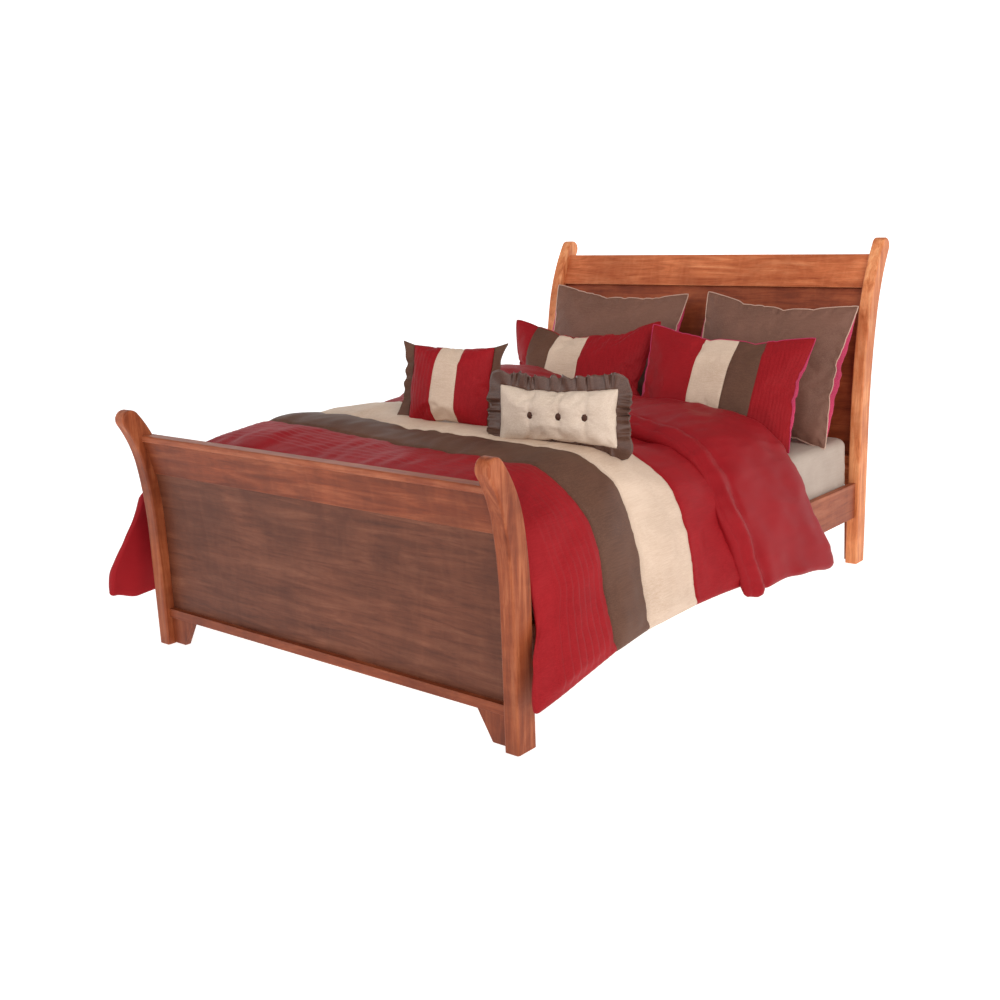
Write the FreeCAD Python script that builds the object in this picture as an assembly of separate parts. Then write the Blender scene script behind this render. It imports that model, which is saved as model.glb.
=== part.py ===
"""Queen sleigh bed with its mattress and bedding, one STEP file per piece, millimetres, +Z up.

The bed is laid out from the foot: Y is 0 at the face of the footboard posts that looks away from
the bed and grows towards the head, X is 0 on the centre line, Z is 0 on the floor.  On export the
whole bed moves along Y so that the origin lies under the middle of its overall length.
"""
import FreeCAD, Part
import math
import os

Vector = FreeCAD.Vector

# ---------------------------------------------------------------- driving dimensions
mattress_width = 1524.0
mattress_length = 2032.0
mattress_thick = 245.0
mattress_edge_radius = 32.0
sheet_thick = 1.2
sheet_gap = 0.3

rail_side_gap = 8.0          # mattress side to side rail
foot_gap = 80.0              # mattress foot end to footboard post
head_gap = 5.0               # mattress head end to headboard post
side_rail_thick = 25.0
side_rail_height = 146.0
side_rail_z = 200.0
post_reveal = 15.0           # post stands this far outside the side rail

post_thick = 50.0
post_edge_radius = 7.0
pad_height = 4.0
pad_radius = 15.0
pad_nail_radius = 1.5
pad_nail_length = 16.0

foot_post_height = 828.0
foot_post_depth = 78.0
head_post_height = 1322.0
head_post_depth = 80.0

rail_board_thick = 34.0
foot_rail_setback = 32.0     # rail face behind the post's outward edge
foot_rail_z = 607.0
foot_rail_height = 111.0
foot_cap_height = 22.0
foot_cap_depth = 44.0
foot_cap_overhang = 8.0
foot_cap_radius = 7.0
foot_low_rail_z = 101.0
foot_low_rail_height = 30.0
foot_low_rail_setback = 18.0

head_rail_setback = 28.0     # rail face behind the post's bed-side edge
head_rail_z = 1127.0
head_rail_height = 130.0
head_low_rail_z = 330.0
head_low_rail_height = 120.0

panel_thick = 8.0
panel_setback = 19.0         # panel face behind the face of its rails
groove_depth = 10.0
groove_clearance = 0.2
panel_end_gap = 1.0          # panel edge to the bottom of its groove

gusset_thick = 20.0
gusset_floor_gap = 8.0
foot_gusset_top = 117.0
foot_gusset_bottom = 62.0
head_gusset_top = 28.0
head_gusset_bottom = 18.0

dowel_radius = 5.0
dowel_length = 60.0
gusset_dowel_radius = 3.0
gusset_dowel_length = 24.0
fit_clearance = 0.1
hole_extra = 1.0

plate_thick = 3.0
plate_width = 19.0
plate_end_margin = 12.0
hook_thick = 4.0
hook_height = 12.0
hook_reach = 8.0
hook_lip = 6.0
hook_spacing = 56.0
slot_clearance = 0.4
plate_screw_radius = 2.0
plate_screw_head_radius = 3.6
plate_screw_head_height = 2.2
plate_screw_length = 34.0
plate_screw_inset = 8.0

ledger_width = 25.0
ledger_height = 25.0
ledger_end_gap = 12.0
ledger_screw_radius = 2.5
ledger_screw_head_radius = 4.5
ledger_screw_head_height = 3.0
ledger_screw_length = 40.0

slat_count = 12
slat_width = 70.0
slat_thick = 20.0
slat_end_gap = 4.0
slat_end_margin = 40.0       # post to the centre of the first and last slat
slat_screw_radius = 2.0
slat_screw_head_radius = 4.0
slat_screw_head_height = 2.5
slat_screw_length = 34.0

beam_width = 44.0
beam_height = 50.0
leg_radius = 22.0
leg_gaps = (1, 5, 9)         # each leg stands under the gap after this slat
leg_bolt_radius = 4.0
leg_bolt_half = 30.0
insert_radius = 7.0
insert_length = 18.0
glide_radius = 16.0
glide_height = 8.0
glide_lift = 22.0            # floor to the underside of the leg
glide_stem_radius = 4.0
glide_stem_top = 60.0
glide_travel = 12.0

soft_gap = 0.5               # air between a soft piece and what it lies on
drop_gap = 3.0               # comforter drop to the side rail
comforter_foot_y = 5.0       # behind the footboard post
comforter_head_gap = 555.0   # its turned-back head end to the headboard posts
comforter_crown = 190.0      # top of the quilt above the sheet
comforter_flat = 0.97        # share of that height left where its top starts to fall to the side
comforter_flat_x = 245.0     # side rail to the place where it starts to fall
comforter_wall = 55.0
hem_flare = 165.0            # how far the loose corners of the hem swing out from the rail

pillow_rim = 24.0
crown_inset = 0.32           # share of the short side where the crown is flat
shoulder_inset = 0.15
shoulder_depth = 0.7         # share of half the thickness reached there
# width, height and thickness of each kind; places are the centre x, the distance of the lower edge
# (for the four shams from the headboard posts, for the cushions from the comforter's foot end) and the turn
euro_size = (665.0, 585.0, 150.0)
euro_lean = 20.0
euro_places = {"left": (-372.0, 205.0, 2.0), "right": (421.0, 222.0, 0.0)}
sham_size = (670.0, 470.0, 125.0)
sham_lean = 27.0
sham_places = {"left": (-350.0, 455.0, 7.0), "right": (350.0, 473.0, 7.0)}
banded_size = (328.0, 278.0, 115.0)
banded_place = (-40.0, 592.0, 9.0)
banded_lean = 15.0
oblong_size = (412.0, 183.0, 105.0)
oblong_place = (468.0, 560.0, 11.0)
oblong_lean = 6.0
button_radius = 13.0
button_height = 5.0
button_sink = 12.0
button_spacing = 86.0
ruffle_thick = 8.0
ruffle_width = 48.0
ruffle_under = 12.0
flange_width = 36.0


# ---------------------------------------------------------------- places that follow from them
x_rail_in = mattress_width / 2 + rail_side_gap
x_rail_out = x_rail_in + side_rail_thick
x_post_out = x_rail_out + post_reveal
x_post_in = x_post_out - post_thick
y_foot_post_back = foot_post_depth
y_head_post_front = foot_post_depth + foot_gap + mattress_length + head_gap
side_rail_top = side_rail_z + side_rail_height
ledger_z = side_rail_z + 40.0
slat_z = ledger_z + ledger_height
mattress_z = slat_z + slat_thick
mattress_y = foot_post_depth + foot_gap
sheet_top = mattress_z + mattress_thick + sheet_gap + sheet_thick
sides = (("left", -1), ("right", 1))


# ---------------------------------------------------------------- small builders
def box(x0, x1, y0, y1, z0, z1):
    corner = Vector(min(x0, x1), min(y0, y1), min(z0, z1))
    return Part.makeBox(abs(x1 - x0), abs(y1 - y0), abs(z1 - z0), corner)


def cylinder(base, direction, radius, length):
    return Part.makeCylinder(radius, length, Vector(*base), Vector(*direction))


def prism_x(points, x0, x1):
    """Polygon given as (y, z), extruded from x0 to x1."""
    corners = [Vector(x0, y, z) for y, z in points]
    face = Part.Face(Part.makePolygon(corners + corners[:1]))
    return face.extrude(Vector(x1 - x0, 0, 0))


def prism_y(points, y0, y1):
    """Polygon given as (x, z), extruded from y0 to y1."""
    corners = [Vector(x, y0, z) for x, z in points]
    face = Part.Face(Part.makePolygon(corners + corners[:1]))
    return face.extrude(Vector(0, y1 - y0, 0))


def round_edges(shape, radius, wanted):
    """Fillet the edges for which wanted(edge) is true."""
    return shape.makeFillet(radius, [edge for edge in shape.Edges if wanted(edge)])


def is_along(edge, axis):
    if not isinstance(edge.Curve, Part.Line):
        return False
    return abs(abs(edge.Curve.Direction.dot(axis)) - 1) < 1e-6


def group(shapes):
    return Part.makeCompound(shapes)


def cut_all(shape, tools):
    """Cut the tools from the shape and give back its one solid."""
    result = shape.cut(tools)
    return result.Solids[0] if len(result.Solids) == 1 else result


# ---------------------------------------------------------------- the sleigh curve
class Sweep:
    """Side outline of a post: straight, then a gentle arc, then a tighter one up to a round tip.

    u is the distance outward, away from the bed, from the post's bed-side face at the floor.
    """

    def __init__(self, height, depth, gentle_radius, gentle_angle, tip_radius, tip_angle, to_y):
        self.depth = depth
        self.gentle_radius = gentle_radius
        self.tip_radius = tip_radius
        self.to_y = to_y
        turn = math.radians(gentle_angle)
        tip = math.radians(tip_angle)
        half = depth / 2
        minor = math.sqrt(tip_radius ** 2 - half ** 2)
        self.cap_radius = half * math.cos(tip)
        rise = (gentle_radius - tip_radius) * math.sin(turn) + minor * math.sin(tip)
        self.straight_z = height - rise - self.cap_radius
        self.tip_z = self.straight_z + gentle_radius * math.sin(turn)
        self.tip_shift = gentle_radius * (1 - math.cos(turn))
        self.turn = turn
        centre_u = self.tip_shift + tip_radius * math.cos(turn)
        centre_z = self.tip_z - tip_radius * math.sin(turn)
        self.bed_centre = (centre_u, centre_z)
        self.far_centre = (centre_u + depth, centre_z)
        self.cap_centre = (centre_u + half - tip_radius * math.cos(tip), centre_z + minor * math.sin(tip))
        self.cap_top = (
            self.cap_centre[0] + self.cap_radius * math.sin(tip),
            self.cap_centre[1] + self.cap_radius * math.cos(tip),
        )

    def shift(self, z):
        """How far outward the post has swept at height z."""
        if z <= self.straight_z:
            return 0.0
        if z <= self.tip_z:
            return self.gentle_radius - math.sqrt(self.gentle_radius ** 2 - (z - self.straight_z) ** 2)
        sine = (z - self.tip_z) / self.tip_radius + math.sin(self.turn)
        return self.tip_shift + self.tip_radius * (math.cos(self.turn) - math.sqrt(1 - sine ** 2))

    def cap_end(self, centre, sign):
        """Where the tip's round meets the edge whose arc has this centre."""
        du = self.cap_centre[0] - centre[0]
        dz = self.cap_centre[1] - centre[1]
        scale = sign * self.cap_radius / math.hypot(du, dz)
        return (self.cap_centre[0] + du * scale, self.cap_centre[1] + dz * scale)

    def point(self, u, z, x):
        return Vector(x, self.to_y(u), z)

    def rising_edge(self, offset, z_low, z_high, x):
        """Edges that follow the sweep at this offset from z_low up to z_high."""
        stops = [z_low] + [z for z in (self.straight_z, self.tip_z) if z_low < z < z_high] + [z_high]
        edges = []
        for low, high in zip(stops, stops[1:]):
            start, middle, end = (self.point(offset + self.shift(z), z, x) for z in (low, (low + high) / 2, high))
            if high <= self.straight_z:
                edges.append(Part.makeLine(start, end))
            else:
                edges.append(Part.Arc(start, middle, end).toShape())
        return edges

    def strip(self, offset, thick, z_low, z_high, x0, x1):
        """A board that follows the sweep, between two X planes."""
        near = self.rising_edge(offset, z_low, z_high, x0)
        far = self.rising_edge(offset + thick, z_low, z_high, x0)
        low = Part.makeLine(
            self.point(offset + self.shift(z_low), z_low, x0),
            self.point(offset + thick + self.shift(z_low), z_low, x0),
        )
        high = Part.makeLine(
            self.point(offset + self.shift(z_high), z_high, x0),
            self.point(offset + thick + self.shift(z_high), z_high, x0),
        )
        wire = Part.Wire(Part.__sortEdges__(near + far + [low, high]))
        return Part.Face(wire).extrude(Vector(x1 - x0, 0, 0))

    def post(self, x0, x1, z_low):
        """The post itself, with its long edges rounded."""
        bed_end = self.cap_end(self.bed_centre, 1)
        far_end = self.cap_end(self.far_centre, -1)
        near = self.rising_edge(0.0, z_low, bed_end[1], x0)
        far = self.rising_edge(self.depth, z_low, far_end[1], x0)
        cap = Part.Arc(self.point(*bed_end, x0), self.point(*self.cap_top, x0), self.point(*far_end, x0)).toShape()
        base = Part.makeLine(self.point(0, z_low, x0), self.point(self.depth, z_low, x0))
        wire = Part.Wire(Part.__sortEdges__(near + far + [cap, base]))
        solid = Part.Face(wire).extrude(Vector(x1 - x0, 0, 0))

        def is_long(edge):
            middle = edge.valueAt((edge.FirstParameter + edge.LastParameter) / 2)
            return not is_along(edge, Vector(1, 0, 0)) and middle.z > z_low + 1.0

        return round_edges(solid, post_edge_radius, is_long)

    def outermost(self):
        """Largest outward reach of the tip."""
        return self.cap_centre[0] + self.cap_radius


foot_sweep = Sweep(foot_post_height, foot_post_depth, 1500.0, 9.0, 400.0, 34.5,
                   lambda u: foot_post_depth - u)
head_sweep = Sweep(head_post_height, head_post_depth, 2400.0, 10.7, 800.0, 31.5,
                   lambda u: y_head_post_front + u)

foot_end_y = foot_sweep.to_y(foot_sweep.outermost())
head_end_y = head_sweep.to_y(head_sweep.outermost())
y_middle = (foot_end_y + head_end_y) / 2


# ---------------------------------------------------------------- footboard and headboard
def swept_rail(sweep, near_offset, z_low, height, thick):
    """Rail between the posts whose two faces lean with the sweep and whose edges are level."""
    z_high = z_low + height
    points = [
        (sweep.to_y(near_offset + sweep.shift(z_low)), z_low),
        (sweep.to_y(near_offset + sweep.shift(z_high)), z_high),
        (sweep.to_y(near_offset + thick + sweep.shift(z_high)), z_high),
        (sweep.to_y(near_offset + thick + sweep.shift(z_low)), z_low),
    ]
    return prism_x(points, -x_post_in, x_post_in)


def rail_dowel_place(sweep, near_offset, z_low, height, thick, share):
    """Centre of a dowel in a leaning rail, at a share of the rail's height."""
    z = z_low + height * share
    low = sweep.shift(z_low)
    high = sweep.shift(z_low + height)
    return (sweep.to_y(near_offset + thick / 2 + low + (high - low) * share), z)


def dowels(places, radius, length, clearance=0.0):
    """Dowels across both post joints, or with a clearance the holes for them."""
    pins = []
    reach = length / 2 + (hole_extra if clearance else 0.0)
    for y, z in places:
        for _, side in sides:
            start = (side * x_post_in - reach, y, z)
            pins.append(cylinder(start, (1, 0, 0), radius + clearance, 2 * reach))
    return pins


foot_rail_offset = foot_post_depth - foot_rail_setback - rail_board_thick
foot_low_offset = foot_post_depth - foot_low_rail_setback - rail_board_thick
foot_panel_offset = foot_post_depth - foot_low_rail_setback - panel_setback - panel_thick
foot_low_rail_top = foot_low_rail_z + foot_low_rail_height
foot_rail_top = foot_rail_z + foot_rail_height
head_panel_offset = head_rail_setback + panel_setback
head_low_rail_top = head_low_rail_z + head_low_rail_height

rail_dowel_places = (
    [rail_dowel_place(foot_sweep, foot_rail_offset, foot_rail_z, foot_rail_height, rail_board_thick, s)
     for s in (0.3, 0.75)]
    + [rail_dowel_place(foot_sweep, foot_low_offset, foot_low_rail_z, foot_low_rail_height,
                        rail_board_thick, 0.4)]
    + [rail_dowel_place(head_sweep, head_rail_setback, head_rail_z, head_rail_height, rail_board_thick, s)
       for s in (0.3, 0.75)]
    + [rail_dowel_place(head_sweep, head_rail_setback, head_low_rail_z, head_low_rail_height,
                        rail_board_thick, s) for s in (0.25, 0.7)]
)
foot_gusset_y = foot_sweep.to_y(foot_low_offset + rail_board_thick / 2)
head_gusset_y = head_sweep.to_y(head_rail_setback + rail_board_thick / 2)
gusset_dowel_places = [(foot_gusset_y, foot_low_rail_z * 0.6), (head_gusset_y, head_low_rail_z * 0.7)]
dowel_holes = (
    dowels(rail_dowel_places, dowel_radius, dowel_length, fit_clearance)
    + dowels(gusset_dowel_places, gusset_dowel_radius, gusset_dowel_length, fit_clearance)
)


def foot_panel(extra=0.0):
    """Flat panel of the footboard; extra grows it into the groove that takes it."""
    edge = groove_depth - panel_end_gap + (panel_end_gap if extra else 0.0)
    return foot_sweep.strip(foot_panel_offset - extra, panel_thick + 2 * extra, foot_low_rail_top - edge,
                            foot_rail_z + edge, -x_post_in - edge, x_post_in + edge)


def head_panel(extra=0.0):
    """Panel of the headboard, bent to the sweep."""
    edge = groove_depth - panel_end_gap + (panel_end_gap if extra else 0.0)
    return head_sweep.strip(head_panel_offset - extra, panel_thick + 2 * extra, head_low_rail_top - edge,
                            head_rail_z + edge, -x_post_in - edge, x_post_in + edge)


def foot_cap():
    """Level board on top of the footboard's upper rail, its outward edges rounded."""
    outer = foot_sweep.to_y(foot_rail_offset + rail_board_thick + foot_sweep.shift(foot_rail_top)) - foot_cap_overhang
    board = box(-x_post_in, x_post_in, outer, outer + foot_cap_depth, foot_rail_top, foot_rail_top + foot_cap_height)
    return round_edges(
        board, foot_cap_radius,
        lambda edge: is_along(edge, Vector(1, 0, 0)) and edge.CenterOfMass.y < outer + 1.0,
    )


def gusset(side, y, z_top, width_top, width_bottom):
    """Tapered bracket in the corner of a post and the rail above it."""
    points = [
        (side * x_post_in, z_top),
        (side * x_post_in, gusset_floor_gap),
        (side * (x_post_in - width_bottom), gusset_floor_gap),
        (side * (x_post_in - width_top), z_top),
    ]
    return prism_y(points, y - gusset_thick / 2, y + gusset_thick / 2)


# ---------------------------------------------------------------- side rail hardware
def hardware_corners():
    """Each corner where a side rail hooks into a post: side, joint plane and way into the post."""
    for _, side in sides:
        yield side, y_foot_post_back, -1
        yield side, y_head_post_front, 1


def plate_box(side, plane, way, depth_from, depth_to, half_width, z0, z1):
    x = side * (x_rail_in + x_rail_out) / 2
    return box(x - half_width, x + half_width, plane + way * depth_from, plane + way * depth_to, z0, z1)


plate_z0 = side_rail_z + plate_end_margin
plate_z1 = side_rail_top - plate_end_margin
hook_centres = [(plate_z0 + plate_z1) / 2 + step * hook_spacing / 2 for step in (-1, 1)]
plate_screw_heights = [plate_z0 + plate_screw_inset, plate_z1 - plate_screw_inset]


def slots(side, plane, way, depth_from, depth_to, lip_room):
    """Room for the two hooks, with space for their lips behind the plate."""
    half = hook_thick / 2 + slot_clearance
    rooms = []
    for z in hook_centres:
        low = z - hook_height / 2 - slot_clearance - lip_room
        high = z + hook_height / 2 + slot_clearance + hook_lip
        rooms.append(plate_box(side, plane, way, depth_from, depth_to, half, low, high))
    return rooms


def plate_screws(side, plane, way, clearance=0.0):
    """Two countersunk screws that leave the joint plane along way."""
    x = side * (x_rail_in + x_rail_out) / 2
    screws = []
    for z in plate_screw_heights:
        start = plane + way * slot_clearance * (0 if clearance else 1)
        seat = plane + way * (slot_clearance + plate_screw_head_height)
        end = plate_screw_length + (hole_extra if clearance else 0.0)
        head = cylinder((x, start, z), (0, way, 0), plate_screw_head_radius + clearance, abs(seat - start))
        shank = cylinder((x, seat, z), (0, way, 0), plate_screw_radius + clearance, end)
        screws.append(head.fuse(shank).removeSplitter())
    return screws


def slot_plate(side, plane, way):
    """Steel plate let into the post, with the slots for the hooks."""
    plate = plate_box(side, plane, way, 0, plate_thick, plate_width / 2, plate_z0, plate_z1)
    return cut_all(plate, slots(side, plane, way, -1, plate_thick + 1, 0.0)
                   + plate_screws(side, plane, way, fit_clearance))


def hook_plate(side, plane, way):
    """Steel plate let into the rail's end, with two hooks that drop behind the slot plate."""
    plate = plate_box(side, plane, way, 0, -plate_thick, plate_width / 2, plate_z0, plate_z1)
    for z in hook_centres:
        root = plate_box(side, plane, way, -plate_thick / 2, plate_thick + hook_reach, hook_thick / 2,
                         z - hook_height / 2, z + hook_height / 2)
        lip = plate_box(side, plane, way, plate_thick + slot_clearance, plate_thick + hook_reach, hook_thick / 2,
                        z - hook_height / 2 - hook_lip, z)
        plate = plate.fuse([root, lip])
    return cut_all(plate.removeSplitter(), plate_screws(side, plane, -way, fit_clearance))


def post_hardware_room(side, plane, way):
    """What a post loses to its slot plate, the hooks and the plate's screws."""
    recess = plate_box(side, plane, way, -1, plate_thick, plate_width / 2, plate_z0, plate_z1)
    depth = plate_thick + hook_reach + hole_extra
    return ([recess] + slots(side, plane, way, 0, depth, hook_lip)
            + plate_screws(side, plane, way, fit_clearance))


def rail_hardware_room(side, plane, way):
    recess = plate_box(side, plane, way, 1, -plate_thick, plate_width / 2, plate_z0, plate_z1)
    return [recess] + plate_screws(side, plane, -way, fit_clearance)


# ---------------------------------------------------------------- slats, ledgers and centre support
slat_first_y = y_foot_post_back + slat_end_margin
slat_pitch = (y_head_post_front - slat_end_margin - slat_first_y) / (slat_count - 1)
slat_centres = [slat_first_y + i * slat_pitch for i in range(slat_count)]
leg_centres = [slat_centres[i] + slat_pitch / 2 for i in leg_gaps]
ledger_screw_centres = [y + slat_pitch / 2 for y in slat_centres[:-1:2]]
slat_screw_x = x_rail_in - ledger_width / 2
beam_z = slat_z - beam_height
leg_top = beam_z


def screw(base, direction, radius, head_radius, head_height, length, clearance=0.0):
    """Countersunk screw from the face of its head; with a clearance, the hole for it."""
    extra = hole_extra if clearance else 0.0
    way = Vector(*direction)
    head_base = Vector(*base) - way * extra
    head = Part.makeCylinder(head_radius + clearance, head_height + extra, head_base, way)
    shank = Part.makeCylinder(radius + clearance, length - head_height + extra,
                              Vector(*base) + way * head_height, way)
    return head.fuse(shank).removeSplitter()


def ledger_screws(side, clearance=0.0):
    x = side * (x_rail_in - ledger_width + fit_clearance)
    z = ledger_z + ledger_height * 0.35
    return [screw((x, y, z), (side, 0, 0), ledger_screw_radius, ledger_screw_head_radius,
                  ledger_screw_head_height, ledger_screw_length, clearance) for y in ledger_screw_centres]


def slat_screws(y, clearance=0.0):
    top = slat_z + slat_thick - fit_clearance
    return [screw((x, y, top), (0, 0, -1), slat_screw_radius, slat_screw_head_radius,
                  slat_screw_head_height, slat_screw_length, clearance)
            for x in (-slat_screw_x, 0.0, slat_screw_x)]


def slat(y):
    half = x_rail_in - slat_end_gap
    board = box(-half, half, y - slat_width / 2, y + slat_width / 2, slat_z, slat_z + slat_thick)
    board = round_edges(board, 2.5, lambda edge: is_along(edge, Vector(1, 0, 0)))
    return cut_all(board, slat_screws(y, fit_clearance))


def leg_bolt(y, clearance=0.0):
    half = leg_bolt_half + (hole_extra if clearance else 0.0)
    return cylinder((0, y, leg_top - half), (0, 0, 1), leg_bolt_radius + clearance, 2 * half)


def leg(y):
    """Turned leg under the centre beam, bored for its bolt, insert and glide stem."""
    body = cylinder((0, y, glide_lift), (0, 0, 1), leg_radius, leg_top - glide_lift)
    body = round_edges(body, 3.0, lambda edge: abs(edge.CenterOfMass.z - glide_lift) < 1.0)
    insert_room = cylinder((0, y, glide_lift - 1), (0, 0, 1), insert_radius, insert_length + 1)
    stem_room = cylinder((0, y, glide_lift), (0, 0, 1), glide_stem_radius + 0.5,
                         glide_stem_top + glide_travel + 6 - glide_lift)
    return cut_all(body, [insert_room, stem_room, leg_bolt(y, fit_clearance)])


def leg_insert(y):
    sleeve = cylinder((0, y, glide_lift), (0, 0, 1), insert_radius, insert_length)
    return sleeve.cut(cylinder((0, y, glide_lift - 1), (0, 0, 1), glide_stem_radius + 0.05, insert_length + 2))


def glide(y):
    """Levelling foot: a disc on a threaded stem."""
    disc = cylinder((0, y, 0), (0, 0, 1), glide_radius, glide_height)
    disc = round_edges(disc, 1.5, lambda edge: abs(edge.CenterOfMass.z) < 0.1)
    stem = cylinder((0, y, glide_height / 2), (0, 0, 1), glide_stem_radius, glide_stem_top - glide_height / 2)
    return disc.fuse(stem).removeSplitter()


# ---------------------------------------------------------------- floor pads
pad_centres = [
    (side * (x_post_in + x_post_out) / 2, y)
    for _, side in sides
    for y in (foot_post_depth / 2, y_head_post_front + head_post_depth / 2)
]


def floor_pad(x, y):
    pad = cylinder((x, y, 0), (0, 0, 1), pad_radius, pad_height)
    nail = cylinder((x, y, pad_height / 2), (0, 0, 1), pad_nail_radius, pad_height / 2 + pad_nail_length)
    return pad.fuse(nail).removeSplitter()


def pad_nail_holes():
    return [cylinder((x, y, pad_height - 1), (0, 0, 1), pad_nail_radius + fit_clearance,
                     pad_nail_length + 1 + hole_extra) for x, y in pad_centres]


# ---------------------------------------------------------------- bedding
def mattress_block(grow):
    """The mattress grown outward by some thickness, its edges rounded."""
    half = mattress_width / 2 + grow
    block = box(-half, half, mattress_y - grow, mattress_y + mattress_length + grow,
                mattress_z - grow, mattress_z + mattress_thick + grow)
    return block.makeFillet(mattress_edge_radius + grow, block.Edges)


def fitted_sheet():
    """Sheet over the top and sides of the mattress, open underneath."""
    shell = mattress_block(sheet_gap + sheet_thick).cut(mattress_block(sheet_gap))
    hem_z = mattress_z + mattress_edge_radius
    below = box(-2000, 2000, -1000, 4000, 0, hem_z)
    return shell.cut(below).Solids[0]


comforter_y = y_foot_post_back + comforter_foot_y
comforter_under = sheet_top + soft_gap


def comforter_half(hem_reach, hem_z, crown):
    """Outer and inner outline of one side, from the hem up to the middle of the bed."""
    hem_x = x_rail_out + hem_reach
    side_in = mattress_width / 2 + sheet_thick + sheet_gap + soft_gap
    outer = [
        (hem_x, hem_z),
        (x_rail_out + 52, hem_z + (side_rail_top - hem_z) * 0.7),
        (x_rail_out + 40, side_rail_top + 90),
        (x_rail_out - 30, sheet_top + crown * 0.38),
        (x_rail_out - 115, sheet_top + crown * 0.78),
        (x_rail_out - comforter_flat_x, sheet_top + crown * comforter_flat),
    ]
    inner = [
        (hem_x - comforter_wall, hem_z),
        (x_rail_out + drop_gap, side_rail_top - 60),
        (x_rail_out + drop_gap, side_rail_top + 20),
        (side_in, side_rail_top + 70),
        (side_in, comforter_under),
    ]
    return outer, inner


def comforter_section(y, left, right, crown):
    """Closed outline of the comforter across the bed at this y."""
    left_outer, left_inner = comforter_half(left[0], left[1], crown)
    right_outer, right_inner = comforter_half(right[0], right[1], crown)
    loop = right_outer + [(0.0, sheet_top + crown)]
    loop += [(-x, z) for x, z in reversed(left_outer)]
    loop += [(-x, z) for x, z in left_inner]
    loop += list(reversed(right_inner))
    points = [Vector(x, y, z) for x, z in loop]
    return Part.makePolygon(points + points[:1])


def comforter():
    """Plump quilt over the mattress: it hangs outside the rails and is tucked in at the foot."""
    crown = comforter_crown
    stations = [
        (comforter_y, (95, 160), (80, 160), crown * 0.9),
        (comforter_y + 500, (85, 212), (85, 212), crown),
        (comforter_y + 860, (85, 210), (85, 210), crown),
        (comforter_y + 1040, (85, 205), (85, 205), crown * 0.85),
        (comforter_y + 1140, (95, 175), (95, 175), crown * 1.12),
        (y_head_post_front - comforter_head_gap, (hem_flare, 105), (hem_flare, 105), crown * 1.1),
    ]
    body = Part.makeLoft([comforter_section(*station) for station in stations], True, True)
    tuck = box(-x_post_in + 10, x_post_in - 10, comforter_y, mattress_y - sheet_gap - sheet_thick - soft_gap,
               side_rail_top, sheet_top + 40)
    corner = Part.makeLoft([
        Part.makePolygon([Vector(-x, y, z) for x, z in outline + outline[:1]])
        for y, outline in (
            (comforter_y + 20, [(x_post_out + 6, side_rail_top + 120), (x_rail_out + 55, side_rail_top + 120),
                                (x_rail_out + 98, 170), (x_post_out + 26, 170)]),
            (foot_end_y + 6, [(x_post_out + 22, 330), (x_post_out + 44, 330),
                              (x_rail_out + hem_flare, 190), (x_rail_out + hem_flare - 60, 190)]),
        )
    ], True, True)
    return body.fuse([tuck, corner]).removeSplitter().Solids[0]


def comforter_top(x):
    """Height of the quilt's top at this distance from the middle of the bed."""
    fall = comforter_crown * (1 - comforter_flat) / (x_rail_out - comforter_flat_x)
    return sheet_top + comforter_crown - fall * abs(x)


def pillow(width, height, thick):
    """Crowned pillow standing on its lower edge at the origin, its front towards -Y."""
    short = min(width, height)
    half = thick / 2
    shape = [(-half, crown_inset), (-half * shoulder_depth, shoulder_inset), (-pillow_rim / 2, 0.0)]
    shape += [(-y, inset) for y, inset in reversed(shape)]
    outlines = []
    for y, share in shape:
        inset = short * share
        corners = [
            Vector(x, y, z)
            for x, z in ((inset - width / 2, inset), (width / 2 - inset, inset),
                         (width / 2 - inset, height - inset), (inset - width / 2, height - inset))
        ]
        outlines.append(Part.makePolygon(corners + corners[:1]))
    return Part.makeLoft(outlines, True, True).Solids[0]


def place(shapes, x, y, z, lean, yaw, lower_edge=pillow_rim):
    """Lean pieces back by lean, turn them by yaw and set their lower edge, this thick, on z."""
    for shape in shapes:
        shape.rotate(Vector(0, 0, 0), Vector(1, 0, 0), -lean)
        shape.rotate(Vector(0, 0, 0), Vector(0, 0, 1), yaw)
        shape.translate(Vector(x, y, z + soft_gap + lower_edge / 2 * math.sin(math.radians(lean))))
    return shapes


def euro_sham(side_name):
    x, gap, yaw = euro_places[side_name]
    return place([pillow(*euro_size)], x, y_head_post_front - gap, sheet_top, euro_lean, yaw)[0]


def standard_sham(side_name):
    x, gap, yaw = sham_places[side_name]
    return place([pillow(*sham_size)], x, y_head_post_front - gap, sheet_top, sham_lean, yaw)[0]


def banded_cushion():
    """Cushion with a flange of a second cloth down each side."""
    width, height, thick = banded_size
    flanges = [
        box(side * width / 2, side * (width / 2 + flange_width), -ruffle_thick / 2, ruffle_thick / 2,
            0, height) for _, side in sides
    ]
    x, gap, yaw = banded_place
    pieces = place([pillow(*banded_size)] + flanges, x, comforter_y + gap, comforter_top(0), banded_lean, yaw)
    return pieces[0], group(pieces[1:])


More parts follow.
